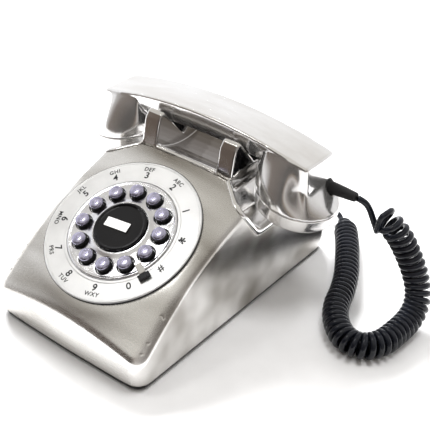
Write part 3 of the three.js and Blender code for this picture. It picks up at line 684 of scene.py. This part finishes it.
def block_field(x, y, z):
    """The block between the recesses, with its pan and its two hollow horns."""
    ax = np.abs(x)
    lower = smooth_max(smooth_max(ax - BLOCK_HALF_WIDTH, np.abs(y) - BLOCK_HALF_DEPTH, 2), z - BLOCK_TOP, 1)
    lower = smooth_max(lower, SHELF_Z + 0.3 - z, 0.6)
    pan = smooth_max(outline_distance(y, z, PAN), ax - 31, 0.8)
    across = np.abs(ax - HORN_CENTRE)
    horn_outline = outline_distance(y, z, HORN)
    horn = smooth_max(horn_outline + 0.3, across - HORN_HALF_WIDTH, 1.6)
    lip = smooth_max(np.abs(ax - 45.6) - 1.7, np.abs(y) - 30.5, 1.2)
    lip = smooth_max(lip, np.abs(z - 95 + 0.5 * (ax - 45)) - 2.3, 1.6)
    solid = smooth_min(smooth_min(smooth_min(lower, pan, 0.6), horn, 0.8), lip, 0.8)
    hollow = np.maximum(outline_distance(y, z, HORN_HOLLOW), across - HORN_HALF_WIDTH + SHEET)
    inside = np.maximum(np.maximum(ax - BLOCK_HALF_WIDTH + SHEET, np.abs(y) - 33), z - 94.5)
    inset = np.maximum(np.maximum(horn_outline + 2.4, HORN_CENTRE + 6.7 - ax), 98.5 - z)
    bore = np.maximum(np.hypot(ax - HORN_CENTRE, y) - PLUNGER_BORE, 95 - z)
    solid = smooth_max(solid, -np.minimum(hollow, inside), 0.4)
    solid = smooth_max(solid, -inset, 0.5)
    return smooth_max(solid, -bore, 0.5)


def tray_field(x, y, z):
    """The lining of both recesses, with a rolled rim where it meets the body."""
    hollow = recess(x, y, z)
    form = body_form(x, y, z)
    lining = smooth_max(np.abs(hollow + 1.45) - 1.15, form + 0.4, 0.5)
    rim = smooth_max(np.abs(hollow + 0.5) - 1.9, np.abs(form + 0.1) - 0.9, 1.0)
    wall = smooth_min(lining, rim, 0.5)
    return smooth_max(wall, BLOCK_HALF_WIDTH - 1.5 - np.abs(x), 0.5)


def make_cradle():
    def field(x, y, z):
        return smooth_min(block_field(x, y - CRADLE_Y, z), tray_field(x, y, z), 0.5)

    points, quads = skin(field, (-75, CRADLE_Y - 70, SHELF_Z - 2), (75, CRADLE_Y + 70, 133), 0.85)
    piece = mesh_object("cradle_casting", points, quads, "cradle")
    # a mask that is high inside the pan, where the plating's colour is darkened as painted shade
    pan_painted_shade = piece.data.attributes.new("pan_painted_shade", "FLOAT", "POINT")
    x, y, z = points.T
    depth = smooth_step(-np.abs(y - CRADLE_Y), -33, -27) * smooth_step(-z, -105.5, -101)
    in_pan = depth * smooth_step(-np.abs(x), -31, -29)
    pan_painted_shade.data.foreach_set("value", (0.3 + 0.4 * in_pan).astype(np.float32))
    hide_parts("cradle")

    # gloss-black panels in the horns' outer faces, which also stand for the dark reflection these faces show:
    # painted reflection
    def panels(x, y, z):
        outer_side = np.abs(np.abs(x) - HORN_CENTRE - 6.75)
        outline = smooth_max(outline_distance(y - CRADLE_Y, z, HORN) + 2.5, 98.7 - z, 0.4)
        return smooth_max(outline, outer_side - 0.35, 0.2)

    low, high = (-46, CRADLE_Y - 36, 97), (46, CRADLE_Y + 36, 132)
    skin_piece("horn_panels_dark_reflection", panels, low, high, 0.6, "gloss")


def make_plungers():
    bottom = 83.9
    top = 116
    profile = [[0, bottom], [4.8, bottom], [4.8, bottom + 2], [4, bottom + 2.6], [4, top - 2], [2.8, top],
               [0, top]]
    for side, x in (("left", -HORN_CENTRE), ("right", HORN_CENTRE)):
        node = f"hook_plunger_{side}"
        matrix = Matrix.Translation((x, CRADLE_Y, 0))
        piece = lathe_piece(f"{node}_pin", profile, "black", matrix, node, sides=40)
        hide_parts(node)


# ---- handset ----
def handle_top(x):
    return HANDLE_TOP - ARCH * x * x


def handle_field(x, y, z):
    """The handle between the two ends, wide at the top and narrower towards its keel."""
    keel = HANDLE_BOTTOM - KEEL_ARCH * x * x
    share = np.clip((z - keel) / (handle_top(x) - keel), 0, 1)
    half = HANDLE_KEEL + (HANDLE_HALF_WIDTH - HANDLE_KEEL) * np.sin(0.5 * math.pi * share ** 0.75)
    sides = (np.abs(y) - half) * 0.85
    return np.maximum(smooth_max(sides, keel - z, 3.5), np.abs(x) - HANDLE_END)


def cup_field(x, y, z):
    """One end of the handset: a square end block above that swells into a round cup below."""
    depth = 18.7
    top_centre = 81.5
    squareness = 14
    guess = np.clip((HANDLE_TOP - z) / (HANDLE_TOP - CUP_Z), 0, 1.4)
    centre = top_centre + (CUP_X - top_centre) * guess
    dx = np.abs(x) - centre
    reach = np.maximum(np.hypot(dx, y), 1e-6)
    c, s = dx / reach, y / reach
    seam = CUP_Z - CUP_RADIUS * c * math.sin(CUP_TILT)
    t = (HANDLE_TOP - z) / (HANDLE_TOP - seam)
    square = depth / (np.abs(c) ** squareness + np.abs(s) ** squareness) ** (1 / squareness)
    round_ = CUP_RADIUS / np.sqrt((c / math.cos(CUP_TILT)) ** 2 + s ** 2)
    flare = smooth_step(t, 0.6, 1.04)
    dome = np.sin(0.5 * math.pi * np.clip((t - 0.2) / 0.8, 0, 1))
    outward = smooth_step(c, 0.1, 0.75)
    swell = flare * outward + dome * (1 - outward)
    side = (reach - square - (round_ - square) * swell) * 0.8
    plane = (z - CUP_Z) * math.cos(CUP_TILT) + (np.abs(x) - CUP_X) * math.sin(CUP_TILT)
    return smooth_max(side, -plane, 0.8)


def handset_field(x, y, z):
    """The handset's casting, with room for the capsules and a seat for the strain relief."""
    body = smooth_min(handle_field(x, y, z), cup_field(x, y, z), 1.0)
    body = smooth_max(body, (z - handle_top(x)) * 0.97, 1.6)
    tilt, up = math.sin(CUP_TILT), math.cos(CUP_TILT)
    height = (z - CUP_Z) * up + (np.abs(x) - CUP_X) * tilt
    radius = np.hypot((np.abs(x) - CUP_X) * up - (z - CUP_Z) * tilt, y)
    wide = np.maximum(radius - CAPSULE_HOLLOW, height - 2.4)
    deep = np.maximum(radius - 15.6, height - 9)
    hollow = np.minimum(wide, deep)
    seat = np.maximum(np.hypot(y - 12.5, z - GLAND[2]) - GLAND_RADIUS, GLAND[0] - 0.3 - x)
    body = smooth_max(body, -hollow, 0.5)
    return smooth_max(body, -seat, 0.4)


CUP_FRAMES = {
    side: Matrix.Translation((side * CUP_X, CRADLE_Y, CUP_Z)) @ Matrix.Rotation(side * CUP_TILT, 4, "Y")
    for side in (1, -1)
}


def cap_profile():
    face = -CAP_HEIGHT
    return [[0, face + 2.2], [20, face + 2], [27, face], [31, face + 0.8], [33, face + 3.2],
            [CUP_RADIUS, face + 7], [CUP_RADIUS, -0.3], [31, -0.3], [31, face + 5], [0, face + 5]]


def make_handset():
    piece = skin_piece("handset_casting", handset_field, (-118, -34, 84), (118, 34, 140), 0.95, "polished",
                       "handset", Matrix.Translation((0, CRADLE_Y, 0)))
    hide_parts("handset_body")
    for side, name in ((1, "mouth_cap"), (-1, "ear_cap")):
        cap = lathe_piece(f"{name}_cover", cap_profile(), "polished", CUP_FRAMES[side], "handset", radius=0.9)
        holes = [on_circle(CAP_HOLE_CIRCLE, 60 * k) for k in range(6)]
        cutter_points, cutter_faces = [], []
        for x, y in [(0, 0), *holes]:
            rod, faces = turned([[0, -16], [CAP_HOLE_RADIUS, -16], [CAP_HOLE_RADIUS, -6], [0, -6]],
                                radius=0.01, sides=20)
            base = len(cutter_points)
            cutter_points += [(px + x, py + y, pz) for px, py, pz in rod]
            cutter_faces += [tuple(base + i for i in f) for f in faces]
        cut(cap, moved(cutter_points, CUP_FRAMES[side]), cutter_faces)
        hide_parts(name)


def cut(piece, points, faces):
    """Cuts a closed shape out of a piece."""
    mesh = bpy.data.meshes.new("cutter")
    mesh.from_pydata([(Vector(p) * MM)[:] for p in points], [], faces)
    cutter = bpy.data.objects.new("cutter", mesh)
    bpy.context.scene.collection.objects.link(cutter)
    modifier = piece.modifiers.new("cut", "BOOLEAN")
    modifier.operation = "DIFFERENCE"
    modifier.solver = "EXACT"
    modifier.object = cutter
    bpy.context.view_layer.update()
    graph = bpy.context.evaluated_depsgraph_get()
    piece.modifiers.move(len(piece.modifiers) - 1, 0)
    result = bpy.data.meshes.new_from_object(piece.evaluated_get(graph))
    piece.modifiers.clear()
    piece.data = result
    bpy.data.objects.remove(cutter)


# ---- dial face ----
def on_circle(radius, degrees):
    """A place on a circle, clockwise from its top."""
    angle = math.radians(degrees)
    return radius * math.sin(angle), radius * math.cos(angle)


BUTTON_ANGLES = [FIRST_BUTTON + BUTTON_SPACING * i for i in range(len(KEY_NAMES))]
BUTTON_SPOTS = [on_circle(BUTTON_CIRCLE, degrees) for degrees in BUTTON_ANGLES]


def make_dial():
    ring = [[RING_INNER, -RING_THICKNESS], [RING_RADIUS, -RING_THICKNESS], [RING_RADIUS, -0.5],
            [RING_RADIUS - 0.6, 0], [RING_RADIUS - 1.6, 0], [RING_RADIUS - 2.0, -0.25],
            [RING_INNER + 2.4, -0.25], [RING_INNER + 2.0, 0], [RING_INNER, 0]]
    piece = lathe_piece("number_plate", ring, "satin", DIAL_FRAME, radius=0.25, sides=160, closed=True)
    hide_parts("number_ring")
    # a black band under the number ring's rim that shows at its edge: painted shadow, standing for the dark
    # gap under the rim
    rim_shadow_band = [[RING_RADIUS - 1, -2.2], [RING_RADIUS + 0.4, -2.2], [RING_RADIUS + 0.4, -0.6],
              [RING_RADIUS - 1, -0.6]]
    lathe_piece("number_plate_rim_shadow", rim_shadow_band, "black", DIAL_FRAME, radius=0.2, sides=160, closed=True)
    disc = [[0, -1.2], [DISC_RADIUS, -1.2], [DISC_RADIUS, 4], [DISC_RADIUS - 0.7, 5],
            [DISC_RADIUS - 1.8, 5], [DISC_RADIUS - 2.8, 3.8], [0, 4.4]]
    piece = lathe_piece("centre_boss", disc, "gloss", DIAL_FRAME, radius=0.5, sides=128)
    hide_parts("centre_disc")

    def wheel(x, y, z):
        radius = np.hypot(x, y)
        ends = outline_distance(radius, z, [
            (DISC_RADIUS + 0.5, -1.2), (43.2, -1.2), (43.2, 0.2), (42.2, 0.9), (40.6, 0.5), (36, 0.7),
            (30.5, 0.9), (26, 1.6), (23, 2.6), (DISC_RADIUS + 0.5, 2.8)])
        hole = np.min([np.hypot(x - cx, y - cy) for cx, cy in BUTTON_SPOTS], axis=0) - FINGER_HOLE
        return smooth_max(ends, -hole, 1.2)

    piece = skin_piece("finger_wheel_dish", wheel, (-44, -44, -1.2), (44, 44, 2.8), 0.5, "dished",
                       matrix=DIAL_FRAME)
    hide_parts("finger_wheel")


def make_buttons():
    radius = BUTTON_RADIUS
    stem = [[0, -7], [6.6, -7], [6.6, -3.5], [radius - 0.1, -3.5], [radius - 0.1, 3.3], [radius - 0.6, 3.4],
            [radius - 0.6, 4.1], [0, 4.1]]
    dome = [[0, 4.4], [radius - 0.4, 4.4], [radius - 0.4, 3.7], [radius, 3.7], [radius, 4.6], [4.7, 5.6],
            [2.7, 6.1], [0, 6.2]]
    for name, (x, y) in zip(KEY_NAMES, BUTTON_SPOTS):
        matrix = DIAL_FRAME @ Matrix.Translation((x, y, 0))
        body = f"button_{name}"
        piece = lathe_piece(f"{body}_stem", stem, "black", matrix, body, sides=48)
        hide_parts(body)
        piece = lathe_piece(f"{body}_dome", dome, "lens", matrix, body, sides=48, radius=0.7)
        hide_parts(f"button_cap_{name}")


NUMBER_CIRCLE = 50.2
NUMBER_SIZE = 7.8
STAR_SIZE = 13
LETTER_CIRCLE = 55.8
LETTER_SIZE = 4.7
LABELS = ["2 ABC", "1", "*", "#", "0", "9 WXY", "8 TUV", "7 PRS", "6 MNO", "5 JKL", "4 GHI", "3 DEF"]


def text_mesh(words, size, matrix):
    """Raised lettering centred on the matrix's origin."""
    curve = bpy.data.curves.new("text", "FONT")
    curve.body = words
    curve.size = size * MM
    curve.space_character = 1.15
    curve.offset = 0.022 * size * MM
    curve.extrude = 0.03 * MM
    curve.align_x = "CENTER"
    curve.align_y = "CENTER"
    temporary = bpy.data.objects.new("text", curve)
    bpy.context.scene.collection.objects.link(temporary)
    bpy.context.view_layer.update()
    mesh = bpy.data.meshes.new_from_object(temporary.evaluated_get(bpy.context.evaluated_depsgraph_get()))
    corners = [Vector(corner) for corner in temporary.bound_box]
    mesh.transform(matrix @ Matrix.Translation(-sum(corners, Vector()) / len(corners)))
    bpy.data.objects.remove(temporary)
    return mesh


def make_numbers():
    """The numbers and letter groups round the dial, printed on the number ring."""
    joined = bmesh.new()
    surface = -0.2
    scaled = Matrix.Translation(DIAL_FRAME.translation * MM) @ DIAL_FRAME.to_3x3().to_4x4()
    rows = ((NUMBER_CIRCLE, NUMBER_SIZE), (LETTER_CIRCLE, LETTER_SIZE))
    for degrees, label in zip(BUTTON_ANGLES, LABELS):
        for words, (radius, size) in zip(label.split(), rows):
            x, y = on_circle(radius, degrees)
            turn = 180 - degrees if 90 < degrees < 270 else -degrees
            place = Matrix.Translation((x * MM, y * MM, surface * MM))
            upright = Matrix.Rotation(math.radians(turn), 4, "Z")
            height = STAR_SIZE if words == "*" else size
            joined.from_mesh(text_mesh(words, height, scaled @ place @ upright))
    mesh = bpy.data.meshes.new("dial_numbers")
    joined.to_mesh(mesh)
    joined.free()
    piece = bpy.data.objects.new("dial_numbers", mesh)
    bpy.context.scene.collection.objects.link(piece)
    coat(piece, "black")
    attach(piece, "base")


# ---- handset cord ----
LEAD = [(128.6, 63.5, 100.8), (131.2, 64.3, 100.2), (134.6, 66.6, 96.6), (136.8, 69.4, 90.8),
        (138.4, 71.2, 85.2)]
# The bend where the wire turns up into the first turn of the coil.
HOOK = [(140.2, 72, 80.4), (143.3, 70.4, 77.4), (146.6, 66.4, 78.2)]
COIL = [(145, 70.6, 89.6), (152.5, 72.2, 84.7), (160, 76.7, 74.4), (167, 81.4, 59.5), (175, 83.5, 42.7),
        (181.5, 81, 28), (184.3, 73.5, 17.8), (184.5, 62, 12.2), (183.3, 47, 10.8), (181.2, 31.6, 10.8),
        (175, 20.6, 10.8), (165.5, 16, 10.8), (154, 18.8, 10.8), (141, 30.2, 10.8), (131.6, 46, 10.8),
        (125.4, 64.5, 10.8), (116.6, 84.8, 10.8), (104.6, 106, 10.8), (91, 127.6, 10.8), (78, 145, 10.8),
        (66, 156, 10.8)]
TAIL = [(64.6, 157, 10.8), (56, 159.6, 11.4), (48.5, 154.5, 13.4), (45.2, 146, 15.6), (45, 137.4, 16.6)]
WIRE = 5
HELIX_RADIUS = 8
PITCH_HANGING = 6.3
PITCH_LYING = 5.25
PITCH_OPEN = 2.8            # added where the coil starts
OPEN_RUN = 28
PITCH_LEAVING = 16          # added where the coil ends
LEAVING_RUN = 26            # the last of the coil, where the wire straightens out
LYING_HEIGHT = 20           # the coil lies up to here, and hangs from HANGING_HEIGHT on
HANGING_HEIGHT = 50
AXIS_STEP = 0.25
WINDING = -1                # a left-handed coil
PATH_STEP = 2.2
CONTROL_STEP = 5            # between the points that the path is smoothed through
ENTRY = 8                   # the first step of the coil that the wire follows


def smooth_line(points, step):
    """Evenly spaced points on a smooth curve through given ones."""
    p = np.array(points, float)
    p = np.vstack([2 * p[0] - p[1], p, 2 * p[-1] - p[-2]])
    dense = []
    for a, b, c, d in zip(p, p[1:], p[2:], p[3:]):
        for t in np.linspace(0, 1, 40, endpoint=False):
            dense.append(0.5 * (2 * b + (c - a) * t + (2 * a - 5 * b + 4 * c - d) * t ** 2
                                + (3 * b - a - 3 * c + d) * t ** 3))
    dense.append(p[-2])
    dense = np.array(dense)
    run = np.concatenate([[0], np.cumsum(np.linalg.norm(np.diff(dense, axis=0), axis=1))])
    even = np.linspace(0, run[-1], max(2, round(run[-1] / step)))
    return np.stack([np.interp(even, run, dense[:, k]) for k in range(3)], 1)


def carried_frames(line):
    """Two directions across a line at each point, carried along it without twisting."""
    tangents = np.gradient(line, axis=0)
    tangents /= np.linalg.norm(tangents, axis=1, keepdims=True)
    side = np.cross(tangents[0], (0, 0, 1))
    sides = []
    for tangent in tangents:
        side = side - tangent * side.dot(tangent)
        side /= np.linalg.norm(side)
        sides.append(side)
    sides = np.array(sides)
    return tangents, sides, np.cross(tangents, sides)


def cord_path():
    """The wire's whole path: the straight lead, the turns of the coil and the tail to the plug."""
    axis = smooth_line(COIL, AXIS_STEP)
    _, side, up = carried_frames(axis)
    run = np.arange(len(axis)) * AXIS_STEP
    hanging = smooth_step(axis[:, 2], LYING_HEIGHT, HANGING_HEIGHT)
    leaving = smooth_step(run, run[-1] - LEAVING_RUN, run[-1])
    pitch = PITCH_LYING + (PITCH_HANGING - PITCH_LYING) * hanging + PITCH_LEAVING * leaving
    pitch += PITCH_OPEN * (1 - smooth_step(run, 0, OPEN_RUN))
    phase = np.cumsum(AXIS_STEP / pitch) * 2 * math.pi
    toward = np.array(HOOK[-1]) - axis[0]
    angle = math.atan2(toward.dot(up[0]), toward.dot(side[0])) + WINDING * phase
    radius = HELIX_RADIUS * (1 - leaving)
    turns = axis + radius[:, None] * (np.cos(angle)[:, None] * side + np.sin(angle)[:, None] * up)
    parts = [smooth_line(LEAD, CONTROL_STEP), HOOK, smooth_line(turns[ENTRY:], CONTROL_STEP),
             smooth_line([axis[-1], *TAIL[1:]], CONTROL_STEP)[1:]]
    return smooth_line(np.vstack(parts), PATH_STEP)


def tube_mesh(line, radius, sides=12):
    """Points and faces of a round tube along a line, closed at both ends."""
    _, side, up = carried_frames(line)
    points, faces = [], []
    for p, s, u in zip(line, side, up):
        for k in range(sides):
            a = 2 * math.pi * k / sides
            points.append(p + radius * (math.cos(a) * s + math.sin(a) * u))
    for i in range(len(line) - 1):
        for k in range(sides):
            n = (k + 1) % sides
            faces.append((i * sides + k, i * sides + n, (i + 1) * sides + n, (i + 1) * sides + k))
    faces.append(tuple(reversed(range(sides))))
    faces.append(tuple(range(len(points) - sides, len(points))))
    return points, faces


def make_cord():
    length = GLAND_LENGTH
    profile = [[0, 0], [5.9, 0], [5.9, 2.0], [5.0, 2.6], [4.8, 9], [4.3, 18], [3.7, length - 0.8],
               [3.3, length], [0, length]]
    matrix = Matrix.Translation(GLAND) @ Matrix.Rotation(math.pi / 2, 4, "Y")
    relief = lathe_piece("cord_relief", profile, "rubber", matrix, "handset", radius=0.8, sides=48)
    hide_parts("strain_relief")
    plug = softened("cord_plug", "clear", 0.5)
    line = cord_path()
    points, faces = tube_mesh(line, WIRE / 2)
    piece = mesh_object("handset_cord", points, faces, "cord", body=None)
    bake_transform(piece)
    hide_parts("cord_lead", "cord_coil", "cord_tail")


# ---- the small parts ----
PLAIN_NODES = {
    "shell_screw_front": "steel", "shell_screw_rear": "steel", "hook_switch": "steel", "hook_lever": "steel",
    "main_board": "board", "key_board": "board", "key_mat": "rubber", "ringer": "black",
    "mouth_capsule": "black", "ear_capsule": "black", "keypad_housing": "satin",
}


def make_small_parts():
    """The nodes that keep their own shape, with rounded edges or only a better finish."""
    softened("finger_stop", "chrome", 0.5)
    softened("label_card", "card", 0.15)
    softened("line_jack", "black", 0.4)
    softened("cord_jack", "black", 0.4)
    for node, slot in PLAIN_NODES.items():
        node_object = frame["nodes"][node]
        node_object.data.materials.clear()
        node_object.data.materials.append(MATERIALS[slot])
    ridge_width = 9.2 / 6

    def block(x, y, z):
        turn = math.radians(STOP_ANGLE)
        out = x * math.sin(turn) + y * math.cos(turn)
        side = x * math.cos(turn) - y * math.sin(turn)
        groove = 0.45 * (0.5 + 0.5 * np.cos(side * 2 * math.pi / ridge_width))
        body = smooth_max(np.abs(side) - 4.6, np.abs(out - STOP_CIRCLE) - 2.3, 0.5)
        return smooth_max(body, np.abs(z - 1.75) - 1.45 + groove, 0.4)

    x, y = on_circle(STOP_CIRCLE, STOP_ANGLE)
    piece = skin_piece("stop_grip", block, (x - 6, y - 6, 0), (x + 6, y + 6, 3.4), 0.3, "black",
                       matrix=DIAL_FRAME)
    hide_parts("stop_block")


# ---- light and floor ----
def make_floor():
    """A white floor; its front part is left out of reflections, so that they show the dark room."""
    material = plastic("floor", (0.86, 0.86, 0.87), (0.90, 0.90, 0.91), 0.6, grain=200)
    reach, front = 4, -0.3
    for name, low, high in (("floor", front, reach), ("floor_front", -reach, front)):
        mesh = bpy.data.meshes.new(name)
        corners = [(-reach, low, 0), (reach, low, 0), (reach, high, 0), (-reach, high, 0)]
        mesh.from_pydata(corners, [], [(0, 1, 2, 3)])
        floor = bpy.data.objects.new(name, mesh)
        bpy.context.scene.collection.objects.link(floor)
        mesh.materials.append(material)
        floor.visible_glossy = name == "floor"


def make_light(name, place, target, size, power, mirrored_too=False):
    """A rectangular lamp; metal mirrors it only if mirrored_too is set."""
    data = bpy.data.lights.new(name, "AREA")
    data.shape = "RECTANGLE"
    data.size, data.size_y = size
    data.energy = power
    light = bpy.data.objects.new(name, data)
    bpy.context.scene.collection.objects.link(light)
    light.visible_glossy = mirrored_too
    light.location = place
    light.rotation_euler = (Vector(target) - Vector(place)).to_track_quat("-Z", "Y").to_euler()


WALL_STOPS = [(0.00, (0.05, 0.045, 0.04)), (0.06, (0.10, 0.08, 0.07)), (0.12, (0.14, 0.11, 0.09)),
              (0.17, (0.9, 0.9, 0.91)), (0.62, (0.9, 0.9, 0.91)), (0.72, (0.30, 0.27, 0.24)),
              (0.80, (0.05, 0.04, 0.035)), (0.855, (0.40, 0.37, 0.35)), (0.875, (0.55, 0.53, 0.51)),
              (0.905, (0.26, 0.21, 0.17)), (0.94, (0.06, 0.05, 0.045)), (1.00, (0.05, 0.045, 0.04))]
CEILING_STOPS = [(0.52, 0.0), (0.60, 0.15), (0.72, 1.0)]
CEILING_COLOR = (0.60, 0.58, 0.54, 1)
STUDIO_STRENGTH = 1.1


def color_ramp(tree, source, stops):
    """A ramp of (position, colour) stops; a colour is three numbers or one grey."""
    ramp = tree.nodes.new("ShaderNodeValToRGB")
    elements = ramp.color_ramp.elements
    elements[0].position, elements[1].position = stops[0][0], stops[-1][0]
    for position, _ in stops[1:-1]:
        elements.new(position)
    for element, (_, color) in zip(elements, stops):
        element.color = (*color, 1) if isinstance(color, tuple) else (color, color, color, 1)
    tree.links.new(source, ramp.inputs["Fac"])
    return ramp.outputs["Color"]


def make_world():
    """A studio: a white wall behind and beside the telephone, a dark room with one window in front of
    it, and a warm grey ceiling."""
    world = bpy.data.worlds.new("studio")
    bpy.context.scene.world = world
    world.use_nodes = True
    tree = world.node_tree
    place = tree.nodes.new("ShaderNodeTexCoord")
    parts = tree.nodes.new("ShaderNodeSeparateXYZ")
    tree.links.new(place.outputs["Generated"], parts.inputs["Vector"])
    around = tree.nodes.new("ShaderNodeMath")
    around.operation = "ARCTAN2"
    tree.links.new(parts.outputs["X"], around.inputs[0])
    tree.links.new(parts.outputs["Y"], around.inputs[1])
    share = tree.nodes.new("ShaderNodeMapRange")
    share.inputs["From Min"].default_value = -math.pi
    share.inputs["From Max"].default_value = math.pi
    tree.links.new(around.outputs["Value"], share.inputs["Value"])
    walls = color_ramp(tree, share.outputs["Result"], WALL_STOPS)
    height = color_ramp(tree, parts.outputs["Z"], CEILING_STOPS)
    mix = tree.nodes.new("ShaderNodeMix")
    mix.data_type = "RGBA"
    tree.links.new(height, mix.inputs["Factor"])
    tree.links.new(walls, mix.inputs["A"])
    mix.inputs["B"].default_value = CEILING_COLOR
    background = tree.nodes["Background"]
    tree.links.new(mix.outputs["Result"], background.inputs["Color"])
    background.inputs["Strength"].default_value = STUDIO_STRENGTH


bpy.context.scene.view_settings.view_transform = "Standard"
make_camera()
make_cord()
make_floor()
make_world()
make_light("key", (-0.75, 0.55, 0.95), (0, 0, 0.05), (0.7, 0.5), 36)
make_light("fill", (0.3, 0.2, 1.6), (0, 0, 0.05), (0.5, 0.5), 10)
make_light("window", (-0.62, -0.42, 1.5), (0, -0.05, 0.08), (0.3, 0.3), 3, mirrored_too=True)
make_shell()
make_base()
make_cradle()
make_plungers()
make_handset()
make_dial()
make_buttons()
make_numbers()
make_small_parts()
